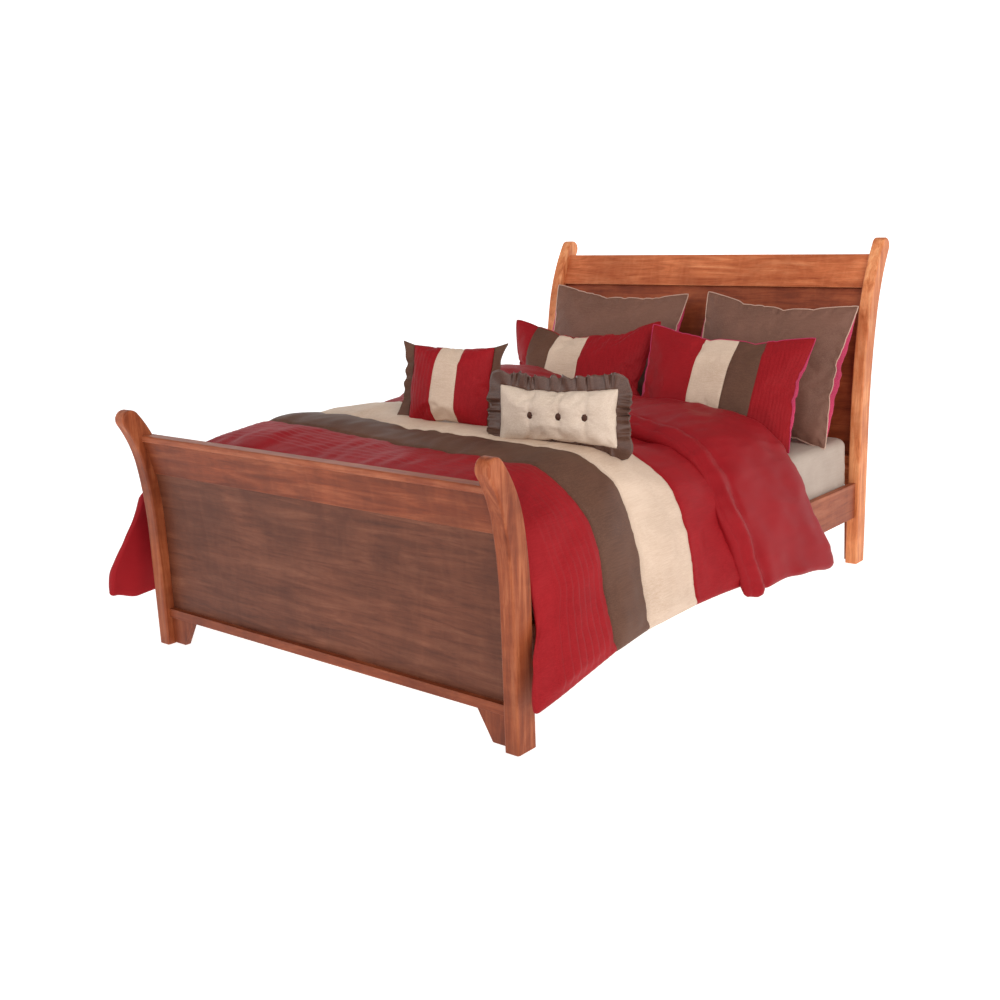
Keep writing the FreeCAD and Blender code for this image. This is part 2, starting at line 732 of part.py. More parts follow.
def oblong_cushion():
    """Cushion with a ruffle all round and three buttons sunk into its face."""
    width, height, thick = oblong_size
    body = pillow(*oblong_size)
    body.translate(Vector(0, 0, ruffle_under))
    face = -thick / 2 + button_sink
    buttons = []
    rooms = []
    for step in (-1, 0, 1):
        base = (step * button_spacing, face, ruffle_under + height / 2)
        buttons.append(cylinder(base, (0, -1, 0), button_radius, button_height))
        rooms.append(cylinder(base, (0, -1, 0), button_radius + 0.4, thick))
    body = cut_all(body, rooms)
    outer = box(-width / 2 - ruffle_width, width / 2 + ruffle_width, -ruffle_thick / 2, ruffle_thick / 2,
                0, ruffle_under + height + ruffle_width)
    inner = box(-width / 2, width / 2, -ruffle_thick, ruffle_thick, ruffle_under, ruffle_under + height)
    ruffle = outer.cut(inner).Solids[0]
    x, gap, yaw = oblong_place
    inner_end = x - (width / 2 + ruffle_width) * math.cos(math.radians(yaw))
    pieces = place([body, ruffle] + buttons, x, comforter_y + gap, comforter_top(inner_end), oblong_lean,
                   yaw, ruffle_thick)
    return pieces[0], pieces[1], group(pieces[2:])


# ---------------------------------------------------------------- build every node
def build():
    nodes = {}
    corners = list(hardware_corners())
    panel_grooves = [foot_panel(groove_clearance), head_panel(groove_clearance)]
    post_cuts = panel_grooves + dowel_holes + pad_nail_holes()

    for name, side in sides:
        inner, outer = side * x_post_in, side * x_post_out
        for end, sweep, plane, way in (("foot", foot_sweep, y_foot_post_back, -1),
                                       ("head", head_sweep, y_head_post_front, 1)):
            post = sweep.post(inner, outer, pad_height)
            cuts = post_cuts + post_hardware_room(side, plane, way)
            nodes[f"{end}_post_{name}"] = cut_all(post, cuts)

    foot_rail = swept_rail(foot_sweep, foot_rail_offset, foot_rail_z, foot_rail_height, rail_board_thick)
    low_rail = swept_rail(foot_sweep, foot_low_offset, foot_low_rail_z, foot_low_rail_height, rail_board_thick)
    nodes["foot_top_rail"] = cut_all(foot_rail, panel_grooves[:1] + dowel_holes)
    nodes["foot_cap_rail"] = foot_cap()
    nodes["foot_bottom_rail"] = cut_all(low_rail, panel_grooves[:1] + dowel_holes)
    nodes["foot_panel"] = foot_panel()

    head_rail = swept_rail(head_sweep, head_rail_setback, head_rail_z, head_rail_height, rail_board_thick)
    head_low = swept_rail(head_sweep, head_rail_setback, head_low_rail_z, head_low_rail_height, rail_board_thick)
    nodes["head_top_rail"] = cut_all(head_rail, panel_grooves[1:] + dowel_holes)
    nodes["head_bottom_rail"] = cut_all(head_low, panel_grooves[1:] + dowel_holes)
    nodes["head_panel"] = head_panel()

    for name, side in sides:
        foot_gusset = gusset(side, foot_gusset_y, foot_low_rail_z, foot_gusset_top, foot_gusset_bottom)
        head_gusset = gusset(side, head_gusset_y, head_low_rail_z, head_gusset_top, head_gusset_bottom)
        nodes[f"foot_gusset_{name}"] = cut_all(foot_gusset, dowel_holes)
        nodes[f"head_gusset_{name}"] = cut_all(head_gusset, dowel_holes)
    nodes["frame_dowels"] = group(
        dowels(rail_dowel_places, dowel_radius, dowel_length)
        + dowels(gusset_dowel_places, gusset_dowel_radius, gusset_dowel_length)
    )

    for name, side in sides:
        rail = box(side * x_rail_in, side * x_rail_out, y_foot_post_back, y_head_post_front,
                   side_rail_z, side_rail_top)
        rail = round_edges(rail, 3.0, lambda edge: is_along(edge, Vector(0, 1, 0)))
        cuts = ledger_screws(side, fit_clearance)
        for corner_side, plane, way in corners:
            if corner_side == side:
                cuts += rail_hardware_room(side, plane, way)
        nodes[f"side_rail_{name}"] = cut_all(rail, cuts)
        strip = box(side * (x_rail_in - ledger_width), side * x_rail_in, y_foot_post_back + ledger_end_gap,
                    y_head_post_front - ledger_end_gap, ledger_z, ledger_z + ledger_height)
        holes = ledger_screws(side, fit_clearance)
        for y in slat_centres:
            holes += slat_screws(y, fit_clearance)
        nodes[f"ledger_{name}"] = cut_all(strip, holes)

    nodes["slot_plates"] = group([slot_plate(*corner) for corner in corners])
    nodes["hook_plates"] = group([hook_plate(*corner) for corner in corners])
    nodes["plate_screws"] = group([
        piece for side, plane, way in corners
        for turn in (1, -1) for piece in plate_screws(side, plane, way * turn)
    ])
    nodes["ledger_screws"] = group([piece for _, side in sides for piece in ledger_screws(side)])

    for number, y in enumerate(slat_centres, 1):
        nodes[f"slat_{number:02d}"] = slat(y)
    nodes["slat_screws"] = group([piece for y in slat_centres for piece in slat_screws(y)])

    beam = box(-beam_width / 2, beam_width / 2, slat_centres[0] - slat_width / 2,
               slat_centres[-1] + slat_width / 2, beam_z, slat_z)
    beam_cuts = [leg_bolt(y, fit_clearance) for y in leg_centres]
    for y in slat_centres:
        beam_cuts += slat_screws(y, fit_clearance)
    nodes["centre_beam"] = cut_all(beam, beam_cuts)
    for number, y in enumerate(leg_centres, 1):
        nodes[f"centre_leg_{number}"] = leg(y)
        nodes[f"levelling_glide_{number}"] = glide(y)
    nodes["leg_bolts"] = group([leg_bolt(y) for y in leg_centres])
    nodes["leg_inserts"] = group([leg_insert(y) for y in leg_centres])
    nodes["floor_pads"] = group([floor_pad(x, y) for x, y in pad_centres])

    nodes["mattress"] = mattress_block(0.0)
    nodes["fitted_sheet"] = fitted_sheet()
    nodes["comforter"] = comforter()
    for name, _ in sides:
        nodes[f"euro_sham_{name}"] = euro_sham(name)
        nodes[f"standard_sham_{name}"] = standard_sham(name)
    nodes["banded_cushion"], nodes["banded_cushion_flanges"] = banded_cushion()
    nodes["oblong_cushion"], nodes["oblong_ruffle"], nodes["oblong_buttons"] = oblong_cushion()
    return nodes


def export(nodes):
    os.makedirs("parts", exist_ok=True)
    for name, shape in nodes.items():
        shape.translate(Vector(0, -y_middle, 0))
        shape.exportStep(f"parts/{name}.step")


export(build())
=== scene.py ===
"""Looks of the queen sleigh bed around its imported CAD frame: wood, hardware and all the bedding.

Bedding sizes are in millimetres in "bed" coordinates: X is 0 on the centre line, Y is 0 at the face of
the footboard posts that looks away from the bed and grows towards the head, Z is 0 on the floor.
"""
import math
from dataclasses import dataclass

import bmesh
import bpy
import numpy as np
from mathutils import Matrix, Vector


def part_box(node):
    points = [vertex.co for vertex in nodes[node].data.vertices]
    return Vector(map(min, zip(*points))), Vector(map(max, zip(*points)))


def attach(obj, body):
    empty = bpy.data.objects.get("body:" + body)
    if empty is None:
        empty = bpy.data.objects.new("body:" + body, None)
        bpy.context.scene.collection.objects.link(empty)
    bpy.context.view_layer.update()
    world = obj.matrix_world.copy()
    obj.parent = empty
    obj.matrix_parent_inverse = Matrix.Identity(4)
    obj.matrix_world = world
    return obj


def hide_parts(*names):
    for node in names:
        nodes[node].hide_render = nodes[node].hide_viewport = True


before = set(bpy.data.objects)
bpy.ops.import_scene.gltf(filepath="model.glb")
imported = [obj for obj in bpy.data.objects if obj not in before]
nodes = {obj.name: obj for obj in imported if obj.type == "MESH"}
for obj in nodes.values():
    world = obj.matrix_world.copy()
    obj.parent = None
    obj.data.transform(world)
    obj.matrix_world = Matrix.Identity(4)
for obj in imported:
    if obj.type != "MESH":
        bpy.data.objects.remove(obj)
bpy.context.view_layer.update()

MM = 0.001
FOOT_POST_DEPTH = 0.078
FOOT_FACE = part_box("side_rail_right")[0].y - FOOT_POST_DEPTH
MATTRESS_LOW, MATTRESS_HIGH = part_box("mattress")
SHEET_LOW, SHEET_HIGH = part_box("fitted_sheet")
MATTRESS_TOP = SHEET_HIGH.z / MM
QUILT_TOP = 716.0


def to_frame(points):
    """Bed coordinates in millimetres to the CAD frame in metres."""
    moved = np.asarray(points, float) * MM
    moved[..., 1] += FOOT_FACE
    return moved


# ---------------------------------------------------------------- number helpers
def smoothstep(low, high, value):
    share = np.clip((np.asarray(value, float) - low) / (high - low), 0.0, 1.0)
    return share * share * (3 - 2 * share)


def ripple(a, b, wavelength, seed, stretch=1.0, waves=14):
    """Smooth noise of about unit size over two coordinates; stretch lengthens it along b."""
    draw = np.random.default_rng(seed)
    total = np.zeros(np.broadcast(a, b).shape)
    for _ in range(waves):
        turn = draw.uniform(0, 2 * math.pi)
        reach = 2 * math.pi / (wavelength * draw.uniform(0.7, 1.7))
        phase = draw.uniform(0, 2 * math.pi)
        total += np.sin(reach * (a * math.cos(turn) + b * math.sin(turn) / stretch) + phase)
    return total / math.sqrt(waves / 2) / 1.6


def cubic_resample(values, old, new):
    """Smooth values given at the sorted places old, read at the places new, along axis 0."""
    old = np.asarray(old, float)
    new = np.asarray(new, float)
    i = np.clip(np.searchsorted(old, new, side="right") - 1, 0, len(old) - 2)
    span = old[i + 1] - old[i]
    t = ((new - old[i]) / span).reshape((-1,) + (1,) * (values.ndim - 1))
    slopes = np.gradient(values, old, axis=0)
    span = span.reshape(t.shape)
    h00 = 2 * t ** 3 - 3 * t ** 2 + 1
    h10 = t ** 3 - 2 * t ** 2 + t
    h01 = 3 * t ** 2 - 2 * t ** 3
    h11 = t ** 3 - t ** 2
    return h00 * values[i] + h10 * span * slopes[i] + h01 * values[i + 1] + h11 * span * slopes[i + 1]


def spaced(stops, step):
    """Places from the first stop to the last, about step apart, that include every stop."""
    places = []
    for low, high in zip(stops, stops[1:]):
        count = max(1, round((high - low) / step))
        places += list(np.linspace(low, high, count, endpoint=False))
    return np.array(places + [stops[-1]])


def normals_of(grid):
    """Unit normals of a grid of points, from its two directions."""
    along = np.gradient(grid, axis=0)
    across = np.gradient(grid, axis=1)
    normal = np.cross(across, along)
    return normal / np.maximum(np.linalg.norm(normal, axis=-1, keepdims=True), 1e-9)


def run_along(path):
    """Length along a path of points, at each of them."""
    return np.concatenate([[0], np.cumsum(np.linalg.norm(np.diff(path, axis=0), axis=1))])


def spread_of(surface):
    """Length along each row of a surface, at each of its points."""
    steps = np.linalg.norm(np.diff(surface, axis=1), axis=2)
    return np.concatenate([np.zeros((len(surface), 1)), np.cumsum(steps, axis=1)], axis=1)


def up_normals(surface):
    """Unit normals of a surface that lies over the bed, turned to point away from it."""
    normal = normals_of(surface)
    return normal * np.sign(normal[:, normal.shape[1] // 2, 2].mean())


# ---------------------------------------------------------------- node helpers
class Nodes:
    """Short names for building a material's node tree."""

    def __init__(self, name):
        self.material = bpy.data.materials.new(name)
        self.material.use_nodes = True
        self.tree = self.material.node_tree
        self.shader = next(n for n in self.tree.nodes if n.type == "BSDF_PRINCIPLED")

    def add(self, kind, inputs=None, **settings):
        node = self.tree.nodes.new(kind)
        for key, value in settings.items():
            setattr(node, key, value)
        for key, value in (inputs or {}).items():
            if isinstance(value, bpy.types.NodeSocket):
                self.tree.links.new(value, node.inputs[key])
            else:
                node.inputs[key].default_value = value
        return node

    def link(self, socket, target):
        self.tree.links.new(socket, self.shader.inputs[target])

    def set(self, **values):
        for key, value in values.items():
            self.shader.inputs[key.replace("_", " ")].default_value = value

    def coordinates(self, scale=(1, 1, 1)):
        place = self.add("ShaderNodeTexCoord").outputs["Object"]
        return self.add("ShaderNodeMapping", {"Vector": place, "Scale": scale}).outputs[0]

    def noise(self, vector, scale, detail=4.0, roughness=0.55, distortion=0.0):
        inputs = {"Vector": vector, "Scale": scale, "Detail": detail, "Roughness": roughness,
                  "Distortion": distortion}
        return self.add("ShaderNodeTexNoise", inputs).outputs["Fac"]

    def ramp(self, factor, stops):
        node = self.add("ShaderNodeValToRGB", {"Fac": factor})
        ramp = node.color_ramp
        while len(ramp.elements) < len(stops):
            ramp.elements.new(0.5)
        for element, (place, colour) in zip(ramp.elements, stops):
            element.position = place
            element.color = colour if len(colour) == 4 else (*colour, 1)
        return node.outputs["Color"]

    def mix(self, factor, first, second, blend="MIX"):
        node = self.add("ShaderNodeMix", {"Factor": factor}, data_type="RGBA", blend_type=blend)
        for socket, value in ((node.inputs[6], first), (node.inputs[7], second)):
            if isinstance(value, bpy.types.NodeSocket):
                self.tree.links.new(value, socket)
            else:
                socket.default_value = (*value, 1)
        return node.outputs[2]

    def math(self, operation, first, second=0.0):
        node = self.add("ShaderNodeMath", {0: first, 1: second}, operation=operation)
        return node.outputs[0]

    def bump(self, height, strength, distance, normal=None):
        inputs = {"Height": height, "Strength": strength, "Distance": distance}
        if normal is not None:
            inputs["Normal"] = normal
        return self.add("ShaderNodeBump", inputs).outputs[0]


def srgb(red, green, blue):
    """A colour given as 0-255 display values, as the linear values a shader wants."""
    shares = (c / 255 for c in (red, green, blue))
    return tuple(((c + 0.055) / 1.055) ** 2.4 if c > 0.0405 else c / 12.92 for c in shares)


GRAIN_AXES = {"x": (1.0, 11.0, 11.0), "y": (11.0, 1.0, 11.0), "z": (11.0, 11.0, 1.0)}


def wood(name, grain, dark, middle, light, figure=1.0, coat=0.05, edge=1.0, rough=0.48):
    """Stained timber: long grain, blotches of stain, fine pores and edges a little lighter, partly rubbed
    wear and partly a painted highlight.
    """
    n = Nodes(name)
    along = n.coordinates(GRAIN_AXES[grain])
    plain = n.coordinates()
    grain_lines = n.noise(along, 3.2, 8.0, 0.62, 0.9)
    fine_lines = n.noise(along, 21.0, 5.0, 0.7)
    blotch = n.noise(plain, 2.6 * figure, 6.0, 0.62, 0.5)
    curl = n.noise(n.coordinates(tuple(1 + 2.2 * (s < 2) for s in GRAIN_AXES[grain])), 7.0, 3.0, 0.5, 1.2)
    body = n.ramp(grain_lines, [(0.28, dark), (0.5, middle), (0.72, light)])
    stained = n.mix(n.ramp(blotch, [(0.36, (0, 0, 0)), (0.64, (1, 1, 1))]), n.mix(0.7, body, dark), body)
    curled = n.mix(n.math("MULTIPLY", n.math("SUBTRACT", curl, 0.45), 0.45), stained, light)
    pores = n.ramp(fine_lines, [(0.36, (0.62, 0.56, 0.52)), (0.5, (1, 1, 1))])
    colour = n.mix(0.45, curled, pores, "MULTIPLY")
    soft = n.add("ShaderNodeBevel", {"Radius": 0.0022}, samples=4).outputs[0]
    true_normal = n.add("ShaderNodeNewGeometry").outputs["Normal"]
    turned = n.add("ShaderNodeVectorMath", {0: soft, 1: true_normal}, operation="DOT_PRODUCT")
    # Edges lightened towards a pale copy of the light stain: partly rubbed wear, partly a painted highlight.
    worn_and_highlit_edge = n.math("MULTIPLY", n.math("SUBTRACT", 1.0, turned.outputs["Value"]), 2.2 * edge)
    worn_and_highlit_patchy = n.math("MINIMUM", n.math("MULTIPLY", worn_and_highlit_edge, n.math("ADD", blotch, 0.2)), 0.6)
    n.link(n.mix(worn_and_highlit_patchy, colour, tuple(min(1, c * 1.5 + 0.05) for c in light)), "Base Color")
    sheen_map = n.math("ADD", n.math("MULTIPLY", fine_lines, 0.16), rough - 0.08)
    n.link(n.math("ADD", sheen_map, n.math("MULTIPLY", blotch, 0.06)), "Roughness")
    relief = n.math("ADD", fine_lines, n.math("MULTIPLY", grain_lines, 0.6))
    n.link(n.bump(relief, 0.22, 0.0012, soft), "Normal")
    n.set(Coat_Weight=coat, Coat_Roughness=0.35, Specular_IOR_Level=0.22)
    return n.material


WEAVE_SCALE = 1500.0 / 6.28


def cloth(name, colour, shade, gleam, rough=0.42, sheen=0.03, slub=0.5, shine=0.14):
    """Woven cloth: two crossing threads, uneven slubs along one of them and a soft gleam."""
    colour, shade, gleam = (srgb(*display) for display in (colour, shade, gleam))
    n = Nodes(name)
    place = n.coordinates()
    warp, weft = (n.add("ShaderNodeTexWave", {"Vector": place, "Scale": WEAVE_SCALE, "Distortion": 0.6},
                        wave_type="BANDS", bands_direction=way).outputs["Fac"] for way in ("X", "DIAGONAL"))
    weave = n.math("MULTIPLY", warp, weft)
    slubs = n.noise(n.coordinates((6, 160, 160)), 3.0, 4.0, 0.6)
    cross_slubs = n.noise(n.coordinates((160, 6, 160)), 2.0, 3.0, 0.6)
    cloudy = n.noise(place, 5.0, 4.0, 0.55)
    tone = n.mix(n.ramp(cloudy, [(0.3, (0, 0, 0)), (0.7, (1, 1, 1))]), shade, colour)
    streaks = n.math("MULTIPLY", n.math("ADD", slubs, cross_slubs), 0.5)
    streaked = n.mix(n.math("MULTIPLY", n.ramp(streaks, [(0.42, (0, 0, 0)), (0.62, (1, 1, 1))]), slub),
                     tone, gleam)
    n.link(n.mix(n.math("MULTIPLY", weave, 0.22), streaked, shade), "Base Color")
    n.link(n.math("ADD", n.math("MULTIPLY", streaks, 0.24), rough - 0.1), "Roughness")
    height = n.math("ADD", n.math("MULTIPLY", weave, 0.5), streaks)
    n.link(n.bump(height, 0.3, 0.0007), "Normal")
    n.set(Sheen_Weight=sheen, Sheen_Roughness=0.35, Specular_IOR_Level=shine)
    n.shader.inputs["Sheen Tint"].default_value = (*gleam, 1)
    return n.material


def metal(name, colour, rough):
    n = Nodes(name)
    grime = n.noise(n.coordinates(), 40.0, 6.0)
    scratches = n.noise(n.coordinates((8, 200, 60)), 3.0, 3.0)
    n.link(n.mix(grime, colour, tuple(c * 0.72 for c in colour)), "Base Color")
    n.link(n.math("ADD", n.math("MULTIPLY", scratches, 0.2), rough), "Roughness")
    n.link(n.bump(scratches, 0.15, 0.0004), "Normal")
    n.set(Metallic=0.9)
    return n.material


def plastic(name, colour):
    n = Nodes(name)
    mould = n.noise(n.coordinates(), 260.0, 3.0)
    haze = n.noise(n.coordinates(), 18.0, 3.0)
    n.link(n.mix(haze, colour, tuple(min(1, c * 1.5 + 0.01) for c in colour)), "Base Color")
    n.link(n.math("ADD", n.math("MULTIPLY", mould, 0.2), 0.42), "Roughness")
    n.link(n.bump(mould, 0.25, 0.0004), "Normal")
    return n.material


def make_materials():
    def stain(dark, middle, light):
        return {"dark": srgb(*dark), "middle": srgb(*middle), "light": srgb(*light)}

    # One cherry stain in copies that differ for light. cherry (head rails) and head_post are lighter where
    # light falls on them. foot (foot rails, gussets) and post (foot posts) are darker where they stand in
    # shade. These differences are painted light and painted shade. The panels' darker stain is partly their
    # own veneer and partly painted shade.
    cherry = stain((146, 66, 32), (202, 112, 68), (230, 150, 102))
    foot = stain((90, 36, 14), (132, 60, 30), (162, 88, 54))
    post = stain((104, 42, 17), (150, 74, 40), (188, 112, 72))
    head_post = stain((168, 84, 42), (222, 138, 88), (246, 180, 128))
    panel = stain((76, 36, 20), (107, 57, 37), (130, 78, 55))
    back = stain((104, 42, 20), (150, 70, 38), (178, 96, 58))
    side = stain((120, 52, 28), (160, 86, 54), (186, 114, 80))
    pale = dict(stain((166, 128, 88), (194, 160, 118), (212, 184, 146)), coat=0.0, edge=0.5, rough=0.6)
    return {
        "wood_x": wood("cherry_lit_along_x", "x", **cherry),
        "foot_rail": wood("cherry_shaded_foot_rail", "x", **foot),
        "wood_y": wood("cherry_along_y", "y", **side),
        "wood_z": wood("cherry_shaded_along_z", "z", **foot),
        "head_post": wood("cherry_lit_head_post", "z", edge=0.7, **head_post),
        "post": wood("cherry_shaded_post", "z", edge=0.7, **post),
        "cap": wood("cherry_cap", "x", **side),
        "foot_panel": wood("foot_panel_veneer", "x", figure=1.3, coat=0.03, **panel),
        "head_panel": wood("head_panel_veneer", "x", figure=1.4, **back),
        "pale_x": wood("pale_slat", "x", **pale),
        "pale_y": wood("pale_beam", "y", **pale),
        "pale_z": wood("pale_leg", "z", **pale),
        "steel": metal("zinc_steel", srgb(176, 178, 180), 0.28),
        "pad": plastic("nylon_pad", srgb(58, 53, 50)),
        "glide": plastic("glide_plastic", srgb(44, 42, 41)),
        "red": cloth("red_satin", (148, 25, 31), (130, 19, 25), (170, 36, 42), shine=0.08, rough=0.5),
        "red_deep": cloth("red_satin_lining", (146, 22, 29), (134, 19, 26), (164, 32, 38), rough=0.45,
                          slub=0.2, shine=0.1),
        "brown": cloth("brown_cloth", (96, 62, 46), (76, 48, 36), (116, 80, 62), rough=0.58, shine=0.25),
        "dark_brown": cloth("brown_satin_ruffle", (84, 54, 42), (58, 36, 28), (122, 86, 70),
                            rough=0.32, shine=0.5),
        "taupe": cloth("taupe_cloth", (120, 82, 68), (96, 64, 52), (140, 102, 86), rough=0.6, shine=0.25),
        "cream": cloth("cream_cloth", (214, 188, 166), (192, 164, 142), (228, 208, 190), rough=0.52),
        "ivory": cloth("ivory_cloth", (214, 194, 176), (194, 172, 152), (230, 214, 200), rough=0.46),
        "sheet": cloth("sheet_cotton", (182, 165, 152), (166, 148, 135), (198, 183, 171),
                       rough=0.65, slub=0.25, shine=0.25),
        "ticking": cloth("ticking", (224, 218, 206), (206, 198, 184), (236, 230, 220), rough=0.7),
        "pink": cloth("pink_satin", (186, 46, 84), (150, 34, 66), (210, 84, 118), rough=0.4),
        "piping": cloth("piping_satin", (196, 160, 142), (176, 138, 120), (214, 184, 168), rough=0.4),
        "button": cloth("button_cloth", (74, 46, 35), (54, 32, 25), (104, 70, 55), rough=0.34),
    }


materials = make_materials()


# ---------------------------------------------------------------- mesh helpers
def object_from(name, points, faces, finishes, finish_of=None):
    """A mesh object from arrays; finish_of gives each face's place in finishes."""
    mesh = bpy.data.meshes.new(name)
    mesh.from_pydata([tuple(p) for p in points], [], [tuple(f) for f in faces])
    for finish in finishes:
        mesh.materials.append(materials[finish])
    if finish_of is not None:
        mesh.polygons.foreach_set("material_index", np.asarray(finish_of, np.int32))
    mesh.polygons.foreach_set("use_smooth", [True] * len(mesh.polygons))
    mesh.validate()
    mesh.update()
    made = bpy.data.objects.new(name, mesh)
    bpy.context.scene.collection.objects.link(made)
    return made


def weld(made, distance):
    """Merge points that coincide and make the faces look outward."""
    work = bmesh.new()
    work.from_mesh(made.data)
    bmesh.ops.remove_doubles(work, verts=work.verts, dist=distance)
    bmesh.ops.dissolve_degenerate(work, dist=distance * 0.5, edges=work.edges)
    bmesh.ops.recalc_face_normals(work, faces=work.faces)
    work.to_mesh(made.data)
    work.free()
    made.data.update()
    return made


def grid_faces(rows, columns, start=0, close_rows=False, close_columns=False):
    """Quads of a rows by columns grid of points numbered row by row."""
    r = np.arange(rows if close_rows else rows - 1)
    c = np.arange(columns if close_columns else columns - 1)
    rr, cc = np.meshgrid(r, c, indexing="ij")
    r2 = (rr + 1) % rows
    c2 = (cc + 1) % columns
    quads = np.stack([rr * columns + cc, rr * columns + c2, r2 * columns + c2, r2 * columns + cc], -1)
    return quads.reshape(-1, 4) + start


def end_caps(rows, columns):
    """The first and the last ring of a grid of rings, each as one face."""
    last = (rows - 1) * columns
    return [list(range(columns))[::-1], list(range(last, last + columns))]


def tube(name, path, radius, finish, sides=8):
    """A round cord along a closed path of points, as a mesh."""
    path = np.asarray(path, float)
    ahead = np.roll(path, -1, 0) - np.roll(path, 1, 0)
    ahead /= np.maximum(np.linalg.norm(ahead, axis=1, keepdims=True), 1e-9)
    guide = np.array([0.31, 0.87, 0.38])
    side = np.cross(ahead, guide)
    side /= np.linalg.norm(side, axis=1, keepdims=True)
    other = np.cross(ahead, side)
    turns = np.arange(sides) * 2 * math.pi / sides
    ring = side[:, None] * np.cos(turns)[None, :, None] + other[:, None] * np.sin(turns)[None, :, None]
    points = (path[:, None] + ring * radius).reshape(-1, 3)
    faces = grid_faces(len(path), sides, close_rows=True, close_columns=True)
    return object_from(name, points, faces, [finish])


def inflate(made, pressure=5.0, frames=24, stiffness=12.0):
    """Blow the closed mesh up with Blender's cloth and return its points."""
    start = np.array([v.co for v in made.data.vertices])
    modifier = made.modifiers.new("cloth", "CLOTH")
    settings = modifier.settings
    settings.quality = 5
    settings.mass = 0.35
    settings.tension_stiffness = stiffness
    settings.compression_stiffness = stiffness
    settings.shear_stiffness = 4.0
    settings.bending_stiffness = 0.6
    settings.air_damping = 2.0
    settings.use_pressure = True
    settings.uniform_pressure_force = pressure
    settings.effector_weights.gravity = 0.0
    modifier.point_cache.frame_end = frames + 1
    scene = bpy.context.scene
    for step in range(1, frames + 1):
        scene.frame_set(step)
    graph = bpy.context.evaluated_depsgraph_get()
    result = made.evaluated_get(graph)
    mesh = result.to_mesh()
    points = np.array([v.co for v in mesh.vertices])
    result.to_mesh_clear()
    made.modifiers.clear()
    scene.frame_set(1)
    return points if np.isfinite(points).all() else start


# ---------------------------------------------------------------- pillows
def pillow_grids(width, height, thick, step, seed, slack, back_share):
    """Front and back of an inflated pillow, as grids over its flat width and height, in metres.

    slack is how far the rim follows the simulation instead of the flat outline, and back_share is the
    part of the thickness behind the rim.
    """
    u = np.linspace(-width / 2, width / 2, max(8, round(width / step)) + 1)
    v = np.linspace(0, height, max(8, round(height / step)) + 1)
    vv, uu = np.meshgrid(v, u, indexing="ij")
    edge = np.clip(1 - (2 * uu / width) ** 2, 0, 1) * np.clip(1 - (2 * vv / height - 1) ** 2, 0, 1)
    swell = thick * 0.5 * edge ** 0.45
    start = 0.45
    wander = 1.2 * MM * ripple(uu, vv, 0.09, seed) * np.minimum(1, edge * 8)
    front = np.stack([uu, -swell * start + wander, vv], -1)
    back = np.stack([uu, swell * start + wander, vv], -1)
    rows, columns = uu.shape
    points = np.concatenate([front.reshape(-1, 3), back.reshape(-1, 3)])
    faces = np.concatenate([grid_faces(rows, columns), grid_faces(rows, columns, rows * columns)[:, ::-1]])
    rim = np.ones((rows, columns), bool)
    rim[1:-1, 1:-1] = False
    front_index = np.arange(rows * columns).reshape(rows, columns)
    merged = np.arange(2 * rows * columns)
    merged[front_index[rim] + rows * columns] = front_index[rim]
    used, compact = np.unique(merged, return_inverse=True)
    temporary = object_from("inflating", points[used], compact[faces], ["red"])
    blown = inflate(temporary)
    bpy.data.objects.remove(temporary)
    points = blown[compact]
    points[:, 0] *= width / np.ptp(points[:, 0])
    points[:, 2] = (points[:, 2] - points[:, 2].min()) * height / np.ptp(points[:, 2])
    points[:, 1] *= thick / np.ptp(points[:, 1])
    points[:, 1] -= (points[:, 1].max() + points[:, 1].min()) / 2
    for axis, flat in ((0, np.tile(uu.ravel(), 2)), (2, np.tile(vv.ravel(), 2))):
        points[:, axis] = flat + (points[:, axis] - flat) * slack
    front = points[:rows * columns].reshape(rows, columns, 3).copy()
    back = points[rows * columns:].reshape(rows, columns, 3).copy()
    plane = (front[..., 1] + back[..., 1]) / 2
    bulge = (back[..., 1] - front[..., 1])
    front[..., 1] = plane - bulge * (1 - back_share)
    back[..., 1] = plane + bulge * back_share
    return u, v, front, back


def refine(grid, u, v, new_u, new_v):
    taller = cubic_resample(grid, v, new_v)
    return np.swapaxes(cubic_resample(np.swapaxes(taller, 0, 1), u, new_u), 0, 1)


def tuck_profile(distance, spacing):
    """A row of stitched tucks: each rises slowly and drops sharply."""
    share = np.mod(distance / spacing, 1.0)
    return np.where(share < 0.72, share / 0.72, (1 - share) / 0.28)


